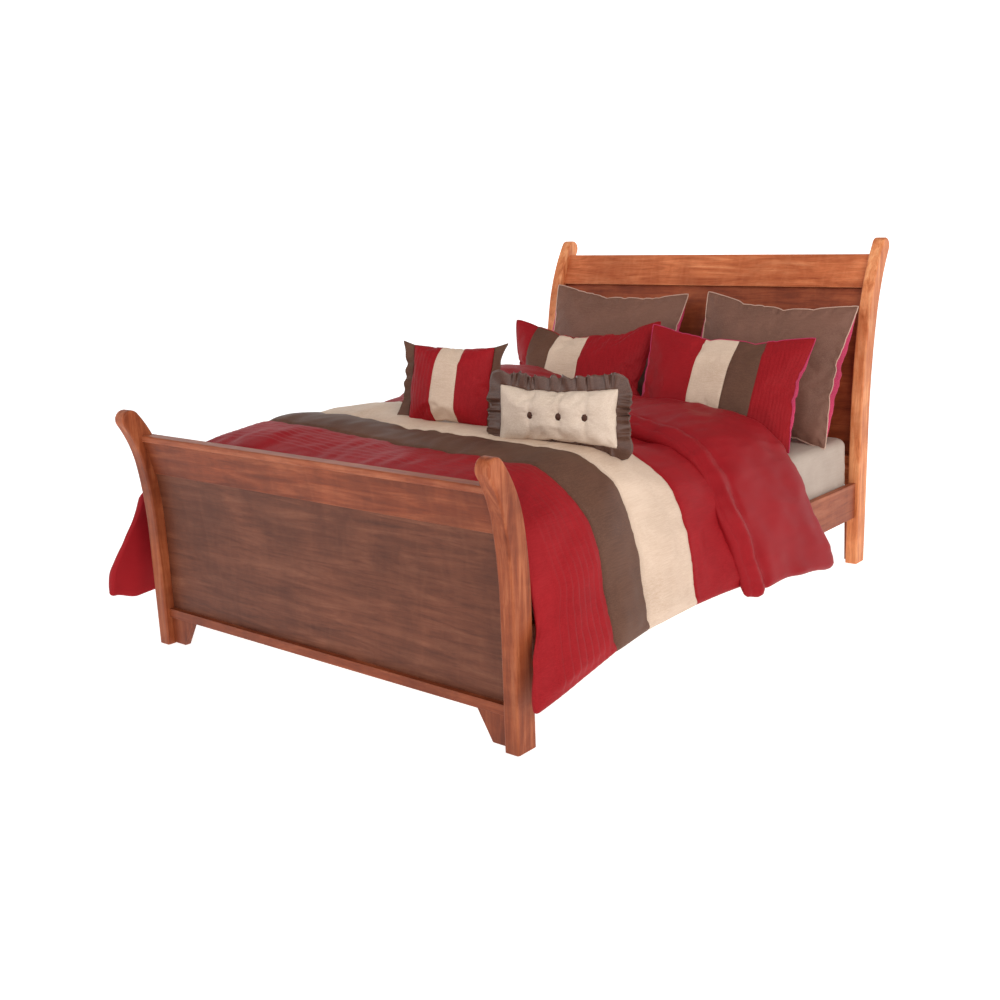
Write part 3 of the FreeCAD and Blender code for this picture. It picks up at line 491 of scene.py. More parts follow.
@dataclass
class Pillow:
    """One pillow: its size in mm, the bands across its front and what happens at its edges.

    Each band is where it ends, as a share of the width, and its finish. tucks are the stretches of the
    width that are stitched in tucks, gather the height of the pleats at the rim in mm, pout how far the
    back bulges past the sides and sag how far the top edge hangs in the middle, both in mm. A dimple is
    a share of the width, a share of the height, a depth and a reach in metres.
    """

    name: str
    size: tuple
    bands: list
    body: str
    nodes_replaced: list
    slot: str
    seed: int
    back: str = "red"
    tucks: tuple = ()
    gather: float = 0.0
    piping: str = ""
    step: float = 0.011
    fine: float = 0.0048
    slack: float = 0.4
    back_share: float = 0.5
    pout: float = 0.0
    sag: float = 0.0
    dimples: tuple = ()

    def build(self, place):
        """Make the mesh, put it at place and hand back the object with its rim loop."""
        width, height, thick = (s * MM for s in self.size)
        u, v, front, back = pillow_grids(width, height, thick, self.step, self.seed, self.slack,
                                         self.back_share)
        half = width / 2
        stops = [-half] + [half * (2 * share - 1) for share, _ in self.bands[:-1]] + [half]
        new_u = spaced(stops, self.fine)
        new_v = spaced([0, height], self.fine)
        front = refine(front, u, v, new_u, new_v)
        back = refine(back, u, v, new_u, new_v)
        uu, vv = np.meshgrid(new_u, new_v)
        rim_distance = np.minimum(np.minimum(uu + half, half - uu), np.minimum(vv, height - vv))
        inside = smoothstep(0, 0.03, rim_distance)
        rise = 1.1 * MM * ripple(uu, vv, 0.07, self.seed + 5) * inside
        for seam in stops[1:-1]:
            rise -= 2.4 * MM * np.exp(-((uu - seam) / 0.004) ** 2) * inside
        for low, high in self.tucks:
            low_u, high_u = half * (2 * low - 1), half * (2 * high - 1)
            within = smoothstep(low_u, low_u + 0.004, uu) * (1 - smoothstep(high_u - 0.004, high_u, uu))
            rise += 2.2 * MM * tuck_profile(uu - low_u, 0.0165) * within * inside
        run = np.where(rim_distance == np.minimum(vv, height - vv), uu, vv)
        pleats = np.sin(run / 0.0105 + 2.2 * ripple(uu, vv, 0.12, self.seed + 9))
        near_rim = smoothstep(0.002, 0.010, rim_distance) * (1 - smoothstep(0.02, 0.055, rim_distance))
        rise += self.gather * MM * pleats * near_rim
        for share, level, depth, reach in self.dimples:
            du = uu - half * (2 * share - 1)
            dv = vv - height * level
            away = np.hypot(du, dv)
            rise -= depth * np.exp(-(away / reach) ** 1.3)
            fold = np.exp(-(du / (9 * MM)) ** 2) * smoothstep(0.0, 0.03, rim_distance)
            rise -= 3.2 * MM * fold
            rays = np.cos(np.arctan2(dv, du) * 7 + share * 9)
            rise += 1.3 * MM * rays * np.exp(-((away - 18 * MM) / (12 * MM)) ** 2)
        outward = normals_of(front)
        front = front - outward * rise[..., None] * np.sign(outward[..., 1].mean())
        rows, columns = uu.shape
        upright = np.sin(math.pi * vv / height) ** 0.8
        for edge, way in ((-half, -1), (half, 1)):
            from_edge = np.abs(uu - edge) / (26 * MM)
            back[..., 0] += way * self.pout * MM * upright * from_edge * np.exp(1 - from_edge)
        dip = np.sin(math.pi * np.clip((uu + half) / width, 0, 0.999)) ** 1.2
        dip = dip * smoothstep(0.25, 1.0, vv / height)
        for side in (front, back):
            side[..., 2] -= self.sag * MM * dip
        points = np.concatenate([front.reshape(-1, 3), back.reshape(-1, 3)])
        front_faces = grid_faces(rows, columns)
        back_faces = grid_faces(rows, columns, rows * columns)[:, ::-1]
        centres = uu[:-1, :-1] + np.diff(new_u)[None, :] / 2
        finishes = [finish for _, finish in self.bands] + [self.back]
        finish_of = np.searchsorted(np.array(stops[1:-1]), centres.reshape(-1))
        finish_of = np.concatenate([finish_of, np.full(len(back_faces), len(self.bands))])
        made = object_from(self.name, points, np.concatenate([front_faces, back_faces]), finishes, finish_of)
        weld(made, 0.0004)
        made.matrix_world = place
        rim = np.concatenate([front[0, :-1], front[:-1, -1], front[-1, :0:-1], front[:0:-1, 0]])
        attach(made, self.body)
        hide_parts(*self.nodes_replaced)
        if self.piping:
            cord = tube(self.name + "_piping", rim, 0.0022, self.piping)
            cord.matrix_world = place
            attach(cord, self.body)
        return made, rim, front


def placement(x, y, z, lean, yaw, roll=0.0):
    """Stand a pillow's lower edge at bed coordinates, leaning back, turned and tilted."""
    where = Vector(to_frame((x, y, z)))
    turn = Matrix.Rotation(math.radians(yaw), 4, "Z")
    back = Matrix.Rotation(-math.radians(lean), 4, "X")
    tilt = Matrix.Rotation(math.radians(roll), 4, "Y")
    return Matrix.Translation(where) @ turn @ back @ tilt


def make_pillows():
    plain = [(1.0, "taupe")]
    left_bands = [(0.165, "red"), (0.33, "brown"), (0.54, "cream"), (1.0, "red")]
    right_bands = [(0.36, "red"), (0.56, "cream"), (0.73, "brown"), (1.0, "red")]
    euro_places = {"left": (-375, 1985, MATTRESS_TOP + 14, 20, 3.4, 3.0),
                   "right": (420, 1968, MATTRESS_TOP + 14, 18.5, -0.6, 3.8)}
    for side, seed, height in (("left", 11, 602), ("right", 12, 572)):
        Pillow(f"euro_sham_{side}_cover", (690, height, 170), plain, f"euro_sham_{side}_body",
               [f"euro_sham_{side}"], "taupe_satin", seed, back="pink", gather=3.0, piping="piping",
               slack=0.34, back_share=0.68, pout=34, sag=4).build(placement(*euro_places[side]))
    Pillow("standard_sham_right_cover", (706, 482, 145), right_bands, "standard_sham_right_body",
           ["standard_sham_right"], "red_satin", 21, tucks=((0.73, 1.0),), piping="pink", back="pink",
           slack=0.4, back_share=0.6, pout=22).build(placement(355, 1722, MATTRESS_TOP + 10, 27.5, 8, 3.2))
    Pillow("standard_sham_left_cover", (718, 490, 145), left_bands, "standard_sham_left_body",
           ["standard_sham_left"], "red_satin", 22, tucks=((0.52, 1.0),), piping="red", back="pink",
           slack=0.55, sag=20).build(placement(-338, 1742, MATTRESS_TOP + 10, 23.5, 7, 0.0))


# ---------------------------------------------------------------- small cushions
FLANGE_WIDTH = 36 * MM
EAR_LIFT = 28.8 * MM


def make_banded_cushion():
    bands = [(0.37, "red"), (0.66, "cream"), (1.0, "red")]
    cushion = Pillow("banded_cushion_cover", (330, 276, 125), bands, "banded_cushion_body",
                     ["banded_cushion"], "cream_satin", 31, back="brown", tucks=((0.0, 0.37), (0.66, 1.0)),
                     step=0.009, slack=0.35)
    place = placement(-38, 677, QUILT_TOP + 14, 14, 8.5, 0.0)
    made, _, front = cushion.build(place)
    for side, edge in (("left", front[:, 0]), ("right", front[:, -1])):
        away = -1 if side == "left" else 1
        share = np.linspace(0, 1, len(edge))
        ears = 0.72 * np.exp(-(share / 0.2) ** 2) + 0.55 * np.exp(-((1 - share) / 0.08) ** 2)
        across = np.linspace(0, 1, 9)
        flap = np.repeat(edge[:, None], len(across), axis=1)
        flap[..., 0] += away * FLANGE_WIDTH * (0.88 + ears)[:, None] * across
        corner_lift = EAR_LIFT * (share - 0.5) * np.exp(-((np.abs(share - 0.5) - 0.5) / 0.1) ** 2)
        flap[..., 2] += corner_lift[:, None] * across
        wave = ripple(share[:, None] * 0.32, across * 0.03, 0.055, 33 + away)
        flap[..., 1] += 5.0 * MM * wave * across + 1.6 * MM * np.sin(share[:, None] * 46) * across
        ribbon("banded_cushion_flange_" + side, flap, 1.4 * MM, "brown", place, "banded_cushion_body",
               ["banded_cushion_flanges"])


def ribbon(name, surface, half_thick, finish, place, body, replaced,
           closed=False):
    """A thin piece of cloth with two faces, from the grid of its middle surface."""
    if closed:
        wrapped = np.concatenate([surface[-1:], surface, surface[:1]])
        offset = normals_of(wrapped)[1:-1] * half_thick
    else:
        offset = normals_of(surface) * half_thick
    rows, columns = surface.shape[:2]
    loops = np.concatenate([surface + offset, (surface - offset)[:, ::-1]], axis=1)
    faces = grid_faces(rows, 2 * columns, close_rows=closed, close_columns=True).tolist()
    if not closed:
        faces += end_caps(rows, 2 * columns)
    made = object_from(name, loops.reshape(-1, 3), faces, [finish])
    weld(made, 0.00005)
    made.matrix_world = place
    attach(made, body)
    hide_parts(*replaced)
    return made


BUTTON_SHARES = (0.31, 0.55, 0.76)


def make_oblong_cushion():
    dimples = tuple((share, 0.5, 13 * MM, 30 * MM) for share in BUTTON_SHARES)
    cushion = Pillow("oblong_cushion_cover", (412, 183, 108), [(1.0, "ivory")], "oblong_cushion_body",
                     ["oblong_cushion"], "cream_satin", 41, back="ivory", gather=1.6, step=0.008,
                     fine=0.004, slack=0.5, dimples=dimples)
    place = placement(474, 632, QUILT_TOP + 6, 5, 11, -0.2)
    made, rim, front = cushion.build(place)
    columns = front.shape[1]
    middle = front.shape[0] // 2
    for number, share in enumerate(BUTTON_SHARES, 1):
        seat = front[middle, round(share * (columns - 1))]
        button(f"oblong_cushion_button_{number}", seat, place)
    frill(rim, place)


def button(name, seat, place):
    """Cloth-covered button: a low dome with a rolled edge, turned about the local Y axis."""
    # The radius is wider than the button alone, so its dark cloth also covers the shade in the tufting
    # dimple round it, as painted shade.
    radius = 13 * MM
    profile = [(0.0, 7.0), (0.35, 6.7), (0.65, 5.6), (0.86, 4.0), (1.0, 1.6), (0.96, -0.6), (0.6, -1.6),
               (0.0, -2.0)]
    sides = 28
    turns = np.arange(sides) * 2 * math.pi / sides
    points = []
    for share, out in profile:
        pinch = 1 + 0.02 * np.cos(turns * 9) * (share > 0.5)
        points.append(np.stack([np.cos(turns) * share * radius * pinch, np.full(sides, -out * MM),
                                np.sin(turns) * share * radius * pinch], -1))
    faces = grid_faces(len(profile), sides, close_columns=True)
    made = object_from(name, np.concatenate(points) + seat, faces, ["button"])
    weld(made, 0.00002)
    made.matrix_world = place
    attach(made, "oblong_cushion_body")
    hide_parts("oblong_buttons")


RUFFLE_WIDTH = 49 * MM
RUFFLE_FOLDS = 26


def frill(rim, place):
    """Gathered ruffle sewn all round the rim."""
    step = np.linalg.norm(np.roll(rim, -1, 0) - rim, axis=1)
    run = np.concatenate([[0], np.cumsum(step)])
    length = run[-1]
    places = np.linspace(0, length, 900, endpoint=False)
    looped = np.concatenate([rim, rim[:1]])
    edge = np.stack([np.interp(places, run, looped[:, axis]) for axis in range(3)], -1)
    span = 9
    ahead = np.roll(edge, -span, 0) - np.roll(edge, span, 0)
    outward = np.stack([ahead[:, 2], np.zeros(len(edge)), -ahead[:, 0]], -1)
    outward /= np.linalg.norm(outward, axis=1, keepdims=True)
    kernel = np.ones(31) / 31
    for axis in (0, 2):
        wrapped = np.concatenate([outward[-15:, axis], outward[:, axis], outward[:15, axis]])
        outward[:, axis] = np.convolve(wrapped, kernel, "valid")
    centre = edge.mean(0)
    if ((edge - centre) * outward).sum() < 0:
        outward = -outward
    outward /= np.linalg.norm(outward, axis=1, keepdims=True)
    turns = 2 * math.pi * places / length
    around = np.stack([np.cos(turns), np.sin(turns)], -1)
    wander = ripple(around[:, 0] * 3, around[:, 1] * 3, 0.9, 47)
    phase = RUFFLE_FOLDS * turns + 2.6 * wander
    across = np.linspace(0, 1, 8)
    underneath = smoothstep(0.3, 0.95, -outward[:, 2])
    width = RUFFLE_WIDTH * (1 + 0.10 * ripple(around[:, 0] * 3, around[:, 1] * 3, 0.5, 49))
    width = width * (1 - 0.22 * underneath)
    surface = edge[:, None] - outward[:, None] * 3 * MM
    surface = surface + outward[:, None] * (width[:, None] * across)[..., None]
    swing = 7.0 * MM * across ** 0.8 * (np.sin(phase) + 0.4 * np.sin(2 * phase + 3 * wander))[:, None]
    surface[..., 1] += swing + 14 * MM * underneath[:, None] * across
    surface += outward[:, None] * (2.5 * MM * np.cos(phase)[:, None] * across)[..., None]
    ribbon("oblong_cushion_ruffle", surface, 0.9 * MM, "dark_brown", place, "oblong_cushion_body",
           ["oblong_ruffle"],
           closed=True)


# ---------------------------------------------------------------- comforter
# Each row is a place along the bed and the outline there, as (across, up) from the middle to the right hem.
QUILT = [
    (98, [(0, 704), (250, 704), (450, 700), (618, 676), (728, 602), (798, 478), (834, 352),
         (858, 250), (876, 165)]),
    (380, [(0, 722), (250, 721), (450, 718), (632, 698), (742, 624), (806, 494), (840, 360),
          (862, 278), (878, 212)]),
    (600, [(0, 735), (250, 731), (440, 724), (622, 706), (734, 634), (802, 492), (834, 355),
          (847, 278), (856, 215)]),
    (900, [(0, 712), (250, 706), (440, 690), (602, 658), (714, 600), (794, 482), (830, 350),
          (844, 272), (852, 211)]),
    (1150, [(0, 690), (250, 682), (440, 662), (600, 634), (716, 580), (794, 482), (832, 352), (852, 268),
            (864, 206)]),
    (1575, [(0, 665), (250, 662), (440, 650), (606, 622), (716, 578), (796, 484), (838, 366), (872, 260),
            (905, 165)]),
]
TURNED_BACK = [
    (1105, [(0, 742), (250, 735), (440, 714), (604, 676), (716, 602), (806, 486), (858, 362), (880, 270),
            (892, 178)]),
    (1350, [(0, 748), (250, 742), (440, 722), (615, 686), (726, 614), (812, 502), (864, 386), (892, 280),
            (910, 186)]),
    (1600, [(0, 735), (250, 728), (440, 715), (640, 678), (752, 602), (820, 512), (872, 408), (908, 280),
            (934, 152)]),
]
QUILT_SEAMS = (376.0, 572.0, 858.0)
QUILT_COLOURS = ("red", "brown", "cream", "red")
# where the stitched tucks start and end along the bed, and their spacing
TUCKS = (158.0, 350.0, 24.0)
HEM_THICK = 24.0
FOOT_END, HEAD_END = 98.0, 1575.0
FOLD_END, FOLD_ROLL = 1105.0, 1600.0
COLUMNS = 236
LYING_Z = MATTRESS_TOP + 1.0
SHEET_SIDE = SHEET_HIGH.x / MM + 2.0
RAIL_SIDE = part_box("side_rail_right")[1].x / MM + 3.0
RAIL_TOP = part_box("side_rail_right")[1].z / MM + 3.0


def sections(stations, rows_y, columns):
    """Outer surface over the rows, from the left hem over the bed to the right hem."""
    stops = [y for y, _ in stations]
    table = np.array([points for _, points in stations], float)
    halves = cubic_resample(table, stops, np.clip(rows_y, stops[0], stops[-1]))
    surface = np.zeros((len(rows_y), columns, 3))
    for row, half in enumerate(halves):
        left = half[:0:-1] * (-1, 1)
        outline = np.concatenate([left, half])
        run = run_along(outline)
        spread = cubic_resample(outline, run, np.linspace(0, run[-1], columns))
        surface[row, :, 0] = spread[:, 0]
        surface[row, :, 2] = spread[:, 1]
    surface[..., 1] = np.asarray(rows_y)[:, None]
    return surface


# how much higher the far side stands, at places along the bed
LEFT_LIFT = ((98, 18), (380, 34), (600, 30), (820, 58), (1000, 100), (1150, 112), (1600, 108))


def plump_left(surface):
    """The far side of the quilt stands higher than the near one."""
    y, lift = zip(*LEFT_LIFT)
    more = np.interp(surface[..., 1], y, lift)
    more = more * smoothstep(-40, -430, surface[..., 0]) * smoothstep(470, 620, surface[..., 2])
    surface[..., 2] += more
    return surface


def lining_of(outer, hem_thick):
    """Inner surface: it lies on the mattress and hangs clear of its side and of the rail."""
    normal = up_normals(outer)
    lying = smoothstep(MATTRESS_TOP - 12, MATTRESS_TOP + 90, outer[..., 2])
    depth = hem_thick + (np.maximum(outer[..., 2] - LYING_Z, hem_thick) - hem_thick) * lying
    inner = outer - normal * depth[..., None]
    inner[..., 1] = outer[..., 1]
    side = np.sign(inner[..., 0])
    reach = np.abs(inner[..., 0])
    up = LYING_Z - inner[..., 2]
    out = SHEET_SIDE - reach
    inside = (up > 0) & (out > 0)
    inner[..., 2] = np.where(inside & (up < out), LYING_Z, inner[..., 2])
    reach = np.where(inside & (up >= out), SHEET_SIDE, reach)
    beside_rail = smoothstep(RAIL_TOP + 45, RAIL_TOP, inner[..., 2])
    least = SHEET_SIDE + (RAIL_SIDE - SHEET_SIDE) * beside_rail
    reach = np.where(inner[..., 2] < LYING_Z - 1, np.maximum(reach, least), reach)
    inner[..., 0] = side * reach
    return inner


def quilt_solid(name, outer, inner, finishes, finish_rows, foot_round, head_round):
    """Close the outer and inner surfaces with rolled hems and rounded ends."""
    rows, columns = outer.shape[:2]
    arc = np.linspace(0, math.pi, 7)[1:-1]
    loops, middles = [], []
    for row in range(rows):
        parts, centre_parts = [], []
        for first, second, order in ((outer, inner, 1), (inner, outer, -1)):
            line = first[row][::order]
            other = second[row][::order]
            parts.append(line)
            centre_parts.append((line + other) / 2)
            middle = (line[-1] + other[-1]) / 2
            half = (line[-1] - other[-1]) / 2
            drop = np.array([0, 0, -np.linalg.norm(half)])
            parts.append(middle + half * np.cos(arc)[:, None] + drop * np.sin(arc)[:, None])
            centre_parts.append(np.repeat(middle[None], len(arc), 0))
        loops.append(np.concatenate(parts))
        middles.append(np.concatenate(centre_parts))
    loops, middles = np.array(loops), np.array(middles)
    turn = np.linspace(0, math.pi / 2, 9)[1:]

    def rounded(loop, middle, reach):
        thick = np.linalg.norm(loop - middle, axis=1)
        depth = np.sign(reach) * np.minimum(thick * 0.9 + 4, abs(reach))
        out = []
        for angle in turn:
            ring = middle + (loop - middle) * math.cos(angle)
            ring[:, 1] += depth * math.sin(angle)
            out.append(ring)
        return np.array(out)

    foot = rounded(loops[0], middles[0], -foot_round)[::-1]
    head = rounded(loops[-1], middles[-1], head_round)
    points = np.concatenate([foot, loops, head])
    count = points.shape[1]
    row_finish = np.concatenate([np.full(len(foot), finish_rows[0]), finish_rows[:-1],
                                 np.full(len(head), finish_rows[-1])])
    lining = len(finishes) - 1
    finish_of = np.repeat(row_finish[:, None], count, 1)
    finish_of[:, columns + 2:2 * columns + 3] = lining
    made = object_from(name, to_frame(points).reshape(-1, 3),
                       grid_faces(len(points), count, close_columns=True), finishes, finish_of.reshape(-1))
    return weld(made, 0.00002)


def swing_foot(surface):
    """At the foot the drops hang past the posts: a little on the right, wide and forward on the left."""
    x, y, z = surface[..., 0].copy(), surface[..., 1].copy(), surface[..., 2].copy()
    near_foot = smoothstep(440, FOOT_END, y)
    clear_of_post = smoothstep(814, 852, np.abs(x))
    right = near_foot * smoothstep(540, 200, z) * (x > 0)
    surface[..., 1] -= 78 * right * clear_of_post
    surface[..., 2] -= 16 * right * smoothstep(300, 160, z)
    left = near_foot * (x < 0)
    out = left * smoothstep(650, 500, z)
    surface[..., 0] -= 92 * out
    clear_of_post = smoothstep(814, 852, np.abs(surface[..., 0]))
    reach = 66 + 98 * smoothstep(520, 210, z)
    surface[..., 1] -= reach * out * clear_of_post
    low = left * smoothstep(320, 170, z)
    surface[..., 2] += low * (34 * smoothstep(20, -70, surface[..., 1]) - 18)
    return surface


def swing_fold(surface):
    """The turned-back edge bows towards the foot on its way down, and its head corners hang back."""
    y, z = surface[..., 1].copy(), surface[..., 2].copy()
    near_edge = smoothstep(1480, FOLD_END, y)
    surface[..., 1] -= 46 * near_edge * np.exp(-((z - 455) / 105) ** 2)
    surface[..., 1] += 26 * near_edge * smoothstep(300, 190, z)
    surface[..., 1] += smoothstep(1250, FOLD_ROLL, y) * smoothstep(430, 150, z) * 88
    return surface


def make_quilt():
    """The flat part of the comforter, in its four bands, down to the hems."""
    low, high, pitch = TUCKS
    rows_y = np.concatenate([spaced([FOOT_END, low], 9)[:-1], spaced([low, high], 3)[:-1],
                             spaced([high, *QUILT_SEAMS, HEAD_END], 8)])
    outer = plump_left(sections(QUILT, rows_y, COLUMNS))
    y = outer[..., 1]
    span = spread_of(outer)
    run = span - span[:, COLUMNS // 2][:, None]
    hem = np.minimum(span, span[:, -1:] - span)
    drop = smoothstep(560, 300, outer[..., 2])
    rise = 4.0 * ripple(run, y, 210, 51) + 1.5 * ripple(run, y, 75, 52, 1.6)
    rise += drop * 7 * ripple(y, run, 260, 53, 5.0) + drop * 1.4 * ripple(y, run, 70, 54, 6.0)
    edges = [FOOT_END, *QUILT_SEAMS, HEAD_END]
    for start, end in zip(edges, edges[1:]):
        share = np.clip((y - start) / (end - start), 0, 1)
        rise += 11 * np.sin(math.pi * share) ** 0.55 * ((y >= start) & (y < end))
    for seam in QUILT_SEAMS:
        rise -= 6 * np.exp(-((y - seam) / 5.5) ** 2)
        rise += 1.2 * np.exp(-((y - seam) / 16) ** 2) * ripple(run, y, 26, 55)
    within = smoothstep(low, low + 6, y) * (1 - smoothstep(high - 6, high, y))
    rise += (1.2 + 3.4 * drop) * tuck_profile(y - low, pitch) * within
    rise *= smoothstep(0, 30, hem) * 0.85 + 0.15
    normal = up_normals(outer)
    inner = lining_of(outer, HEM_THICK)
    outer = outer + normal * rise[..., None]
    wander = 7 * ripple(run, y, 700, 56)
    outer[..., 1] += wander * smoothstep(FOOT_END, 200, y)
    swing_foot(outer)
    swing_foot(inner)
    finish_rows = np.searchsorted(np.array(QUILT_SEAMS), rows_y, side="right")
    made = quilt_solid("comforter_quilt", outer, inner, [*QUILT_COLOURS, "red_deep"], finish_rows, 14, 10)
    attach(made, "comforter_body")
    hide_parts("comforter")


def make_turned_back():
    """The head of the comforter, folded back over itself with its lining outward."""
    rows_y = spaced([FOLD_END, FOLD_ROLL], 6)
    fold = plump_left(sections(TURNED_BACK, rows_y, COLUMNS))
    y = fold[..., 1]
    drop = smoothstep(560, 300, fold[..., 2])
    span = spread_of(fold)
    run = span - span[:, COLUMNS // 2][:, None]
    rise = 4.5 * ripple(run, y, 190, 61) + 2.4 * ripple(run, y, 80, 62, 2.2)
    rise += 1.0 * ripple(run, y, 34, 63, 3.0)
    rise += drop * (5 * ripple(y, run, 300, 64, 2.0) + 1.8 * ripple(y, run, 110, 65, 2.5))
    share = (y - FOLD_END) / (FOLD_ROLL - FOLD_END)
    rise += 12 * np.sin(math.pi * np.clip(share, 0, 1)) ** 0.6
    roll = np.exp(-((y - 1140) / 32) ** 2)
    rise += roll * (15 + 12 * drop)
    crease = np.exp(-((y - 1192 - 8 * ripple(run, y, 240, 67)) / 15) ** 2)
    rise -= crease * (4 + 5 * smoothstep(-0.4, 1.0, ripple(run, y, 170, 66)))
    puckers = np.exp(-((y - 1128) / 20) ** 2) * (0.3 + 0.7 * drop)
    rise += 2.6 * puckers * ripple(run, y, 34, 68, 3.0)
    normal = up_normals(fold)
    under = plump_left(sections(QUILT, rows_y, COLUMNS)) - normal * 5
    under[..., 1] = y
    full = lining_of(fold, HEM_THICK + 14)
    share = smoothstep(1480, 1585, y)[..., None]
    inner = under * (1 - share) + full * share
    inner[..., 1] = y
    fold = fold + normal * rise[..., None]
    swing_fold(fold)
    swing_fold(inner)
    made = quilt_solid("comforter_turned_back", fold, inner, ["red_deep", "red_deep"],
                       np.zeros(len(rows_y), int), 38, 62)
    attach(made, "comforter_body")


# ---------------------------------------------------------------- mattress and sheet
MATTRESS_EDGE = 0.034
QUILTING_STEP = 0.11
TAPE_RADIUS = 0.0035


def ring(half_x, half_y, corner, count):
    """Evenly spread points round a rectangle with rounded corners."""
    corner = min(corner, half_x - 0.001, half_y - 0.001)
    arc = np.linspace(0, math.pi / 2, 9)
    points = []
    for number, (sx, sy) in enumerate(((1, 1), (-1, 1), (-1, -1), (1, -1))):
        centre = np.array([sx * (half_x - corner), sy * (half_y - corner)])
        turn = arc + number * math.pi / 2
        points.append(centre + corner * np.stack([np.cos(turn), np.sin(turn)], -1))
    outline = np.concatenate(points)
    outline = np.concatenate([outline, outline[:1]])
    run = run_along(outline)
    places = np.linspace(0, run[-1], count, endpoint=False)
    return np.stack([np.interp(places, run, outline[:, axis]) for axis in (0, 1)], -1)


def block_rings(low, high, round_edge, count, down_to):
    """Rings from the middle of the top, over the rounded edge and down the side, in metres."""
    middle = (low + high) / 2
    half = (high - low) / 2
    rings = []
    for share in np.linspace(0.02, 1, 22):
        inset = (1 - share) * (half.x - round_edge)
        flat = ring(half.x - round_edge - inset, half.y - round_edge - inset, 0.02, count)
        rings.append((flat, np.full(count, high.z)))
    for angle in np.linspace(0, math.pi / 2, 7)[1:]:
        out = round_edge * math.sin(angle)
        flat = ring(half.x - round_edge + out, half.y - round_edge + out, 0.02 + out, count)
        rings.append((flat, np.full(count, high.z - round_edge * (1 - math.cos(angle)))))
    for z in np.linspace(high.z - round_edge, down_to, 16)[1:]:
        flat = ring(half.x, half.y, 0.02 + round_edge, count)
        rings.append((flat, np.full(count, z)))
    return np.array([np.concatenate([flat + (middle.x, middle.y), z[:, None]], 1) for flat, z in rings])


def make_mattress():
    low, high = MATTRESS_LOW, MATTRESS_HIGH
    edge, count = MATTRESS_EDGE, 520
    top = block_rings(low, high, edge, count, (low.z + high.z) / 2)
    bottom = top.copy()
    bottom[..., 2] = low.z + high.z - bottom[..., 2]
    for side, sign in ((top, 1), (bottom, -1)):
        flat_part = smoothstep(0.0, 0.05, np.minimum(side[..., 0] - low.x, high.x - side[..., 0]))
        flat_part *= smoothstep(0.0, 0.05, np.minimum(side[..., 1] - low.y, high.y - side[..., 1]))
        diamonds = np.abs(np.sin(math.pi * (side[..., 0] + side[..., 1]) / QUILTING_STEP)
                          * np.sin(math.pi * (side[..., 0] - side[..., 1]) / QUILTING_STEP))
        side[..., 2] -= sign * 3.0 * MM * (1 - diamonds ** 0.5) * flat_part
    grid = np.concatenate([top, bottom[::-1][1:]])
    faces = grid_faces(len(grid), count, close_columns=True).tolist()
    faces += end_caps(len(grid), count)
    made = object_from("mattress_ticking", grid.reshape(-1, 3), faces, ["ticking"])
    weld(made, 0.00001)
    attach(made, "mattress_body")
    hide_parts("mattress")
    middle = (low + high) / 2
    outline = ring((high.x - low.x) / 2 - TAPE_RADIUS, (high.y - low.y) / 2 - TAPE_RADIUS, 0.05, 420)
    path = np.concatenate([outline + (middle.x, middle.y), np.full((420, 1), low.z + edge * 0.55)], 1)
    tape = tube("mattress_tape_lower", path, TAPE_RADIUS, "ticking")
    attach(tape, "mattress_body")


def make_sheet():
    low, high = SHEET_LOW.copy(), SHEET_HIGH.copy()
    count = 760
    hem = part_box("fitted_sheet")[0].z
    outer = block_rings(low, high, MATTRESS_EDGE, count, hem)
    turn = np.arange(count) / count
    z = outer[..., 2]
    down = smoothstep(high.z, high.z - 0.06, z)
    middle = (low + high) / 2
    corner_x = np.abs(outer[..., 0] - middle.x) / (high.x - middle.x)
    corner_y = np.abs(outer[..., 1] - middle.y) / (high.y - middle.y)
    corner = smoothstep(1.72, 1.98, corner_x + corner_y)
    run = turn[None, :] * 7.1
    rise = 1.6 * ripple(run, z, 0.16, 71, 3.0) * down
    rise += 2.6 * np.abs(ripple(run + 0.5 * z, z, 0.05, 72, 4.0)) * corner * down
    rise += 1.2 * ripple(outer[..., 0], outer[..., 1], 0.3, 73) * (1 - down)
    rise = np.clip(rise, 0.0, 6.0) * MM
    normal = normals_of(np.concatenate([outer, outer[:, :1]], axis=1))[:, :-1]
    normal *= np.sign(normal[0, :, 2].mean())
    outer = outer + normal * rise[..., None]
    inner = outer - normal * 1.0 * MM
    grid = np.concatenate([outer, inner[::-1]])
    faces = grid_faces(len(grid), count, close_columns=True).tolist()
    faces += end_caps(len(grid), count)
    made = object_from("fitted_sheet_cotton", grid.reshape(-1, 3), faces, ["sheet"])
    weld(made, 0.00001)
    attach(made, "mattress_body")
    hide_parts("fitted_sheet")


# ---------------------------------------------------------------- stage, lights, camera
def make_stage():
    """White studio: a glowing floor and a ring of white wall far behind it."""
    reach, wall, sides = 30.0, 16.0, 48
    turns = np.arange(sides) * 2 * math.pi / sides
    circle = np.stack([np.cos(turns) * reach, np.sin(turns) * reach, 0 * turns], -1)
    mesh = bpy.data.meshes.new("studio")
    raised = circle + (0, 0, wall)
    faces = [list(range(sides))]
    faces += [[i, i + sides, (i + 1) % sides + sides, (i + 1) % sides] for i in range(sides)]
    mesh.from_pydata(np.concatenate([circle, raised]).tolist(), [], faces)
    studio = bpy.data.objects.new("studio", mesh)
    bpy.context.scene.collection.objects.link(studio)
    n = Nodes("studio_paper")
    mottle = n.noise(n.coordinates(), 2.0, 3.0)
    n.link(n.mix(mottle, (0.60, 0.60, 0.60), (0.64, 0.64, 0.64)), "Base Color")
    n.set(Roughness=0.9, Specular_IOR_Level=0.0, Emission_Color=(1, 1, 1, 1), Emission_Strength=0.86)
    mesh.materials.append(n.material)


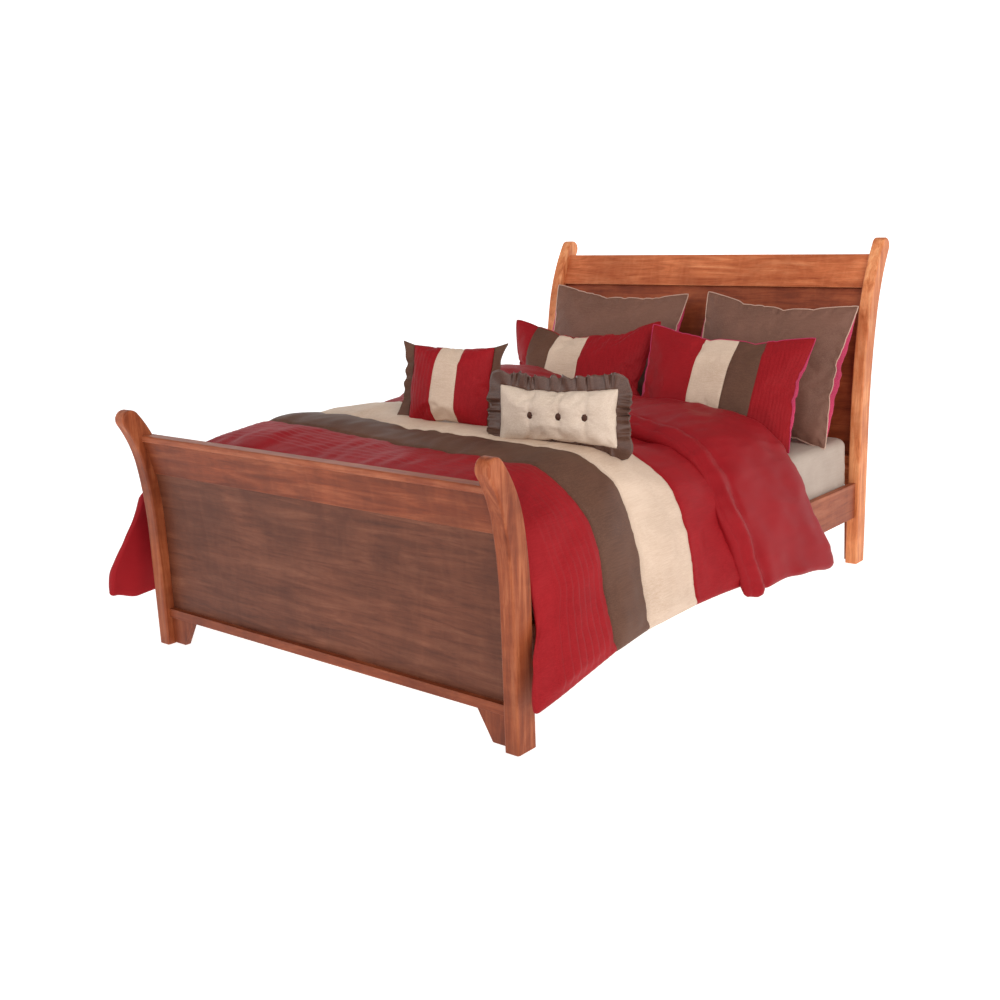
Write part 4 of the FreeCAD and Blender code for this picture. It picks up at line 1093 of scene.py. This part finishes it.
def area_light(name, place, target, size, power, colour=(1, 1, 1)):
    light = bpy.data.lights.new(name, "AREA")
    light.shape = "RECTANGLE"
    light.size, light.size_y = size
    light.energy = power
    light.color = colour
    made = bpy.data.objects.new(name, light)
    made.location = place
    made.rotation_euler = (Vector(target) - Vector(place)).to_track_quat("-Z", "Y").to_euler()
    bpy.context.scene.collection.objects.link(made)


def make_lights():
    world = bpy.data.worlds.new("studio")
    world.use_nodes = True
    background = world.node_tree.nodes["Background"]
    background.inputs["Color"].default_value = (1, 1, 1, 1)
    background.inputs["Strength"].default_value = 0.28
    bpy.context.scene.world = world
    middle = (0, 0, 0.5)
    area_light("key", (4.4, -2.2, 3.8), middle, (2.0, 2.0), 88, (1.0, 0.95, 0.89))
    area_light("front", (1.4, -5.0, 3.4), (0, 0.8, 0.9), (2.4, 1.6), 30)
    area_light("top", (0.8, 0.2, 4.4), middle, (2.4, 2.4), 16)


def make_camera():
    camera = bpy.data.cameras.new("camera")
    camera.sensor_width = 36.0
    camera.lens = 41.82
    camera.shift_x = -0.085
    camera.shift_y = 0.014
    camera.clip_end = 100.0
    made = bpy.data.objects.new("camera", camera)
    azimuth, pitch, roll = (math.radians(a) for a in (36.66, 13.7, -1.11))
    forward = Vector((-math.sin(azimuth) * math.cos(pitch), math.cos(azimuth) * math.cos(pitch),
                      -math.sin(pitch)))
    level = Vector((math.cos(azimuth), math.sin(azimuth), 0))
    upright = level.cross(forward)
    right = level * math.cos(roll) + upright * math.sin(roll)
    up = upright * math.cos(roll) - level * math.sin(roll)
    turn = Matrix((right, up, -forward)).transposed().to_4x4()
    made.matrix_world = Matrix.Translation(Vector(to_frame((2676.2, -2189.0, 1370.0)))) @ turn
    bpy.context.scene.collection.objects.link(made)
    bpy.context.scene.camera = made


def paint_frame():
    """Give every CAD node that stays its own finish."""
    finish = {
        "foot_panel": "foot_panel", "head_panel": "head_panel", "foot_cap_rail": "cap",
        "foot_top_rail": "foot_rail", "foot_bottom_rail": "foot_rail", "head_top_rail": "wood_x",
        "head_bottom_rail": "wood_x", "centre_beam": "pale_y", "frame_dowels": "pale_x", "floor_pads": "pad",
    }
    starts = {
        "foot_post": "post", "head_post": "head_post", "foot_gusset": "wood_z", "head_gusset": "wood_z",
        "side_rail": "wood_y", "ledger_screws": "steel", "ledger_": "pale_y", "slat_screws": "steel",
        "slat_": "pale_x", "centre_leg": "pale_z", "levelling_glide": "glide", "leg_": "steel",
        "slot_plates": "steel", "hook_plates": "steel", "plate_screws": "steel",
    }
    for name, node in nodes.items():
        wanted = finish.get(name)
        if wanted is None:
            wanted = next((f for start, f in starts.items() if name.startswith(start)), None)
        if wanted is None:
            continue
        for place in node.material_slots:
            place.material = materials[wanted]


paint_frame()
make_mattress()
make_sheet()
make_quilt()
make_turned_back()
make_pillows()
make_banded_cushion()
make_oblong_cushion()
make_stage()
make_lights()
make_camera()
bpy.context.scene.view_settings.view_transform = "Standard"
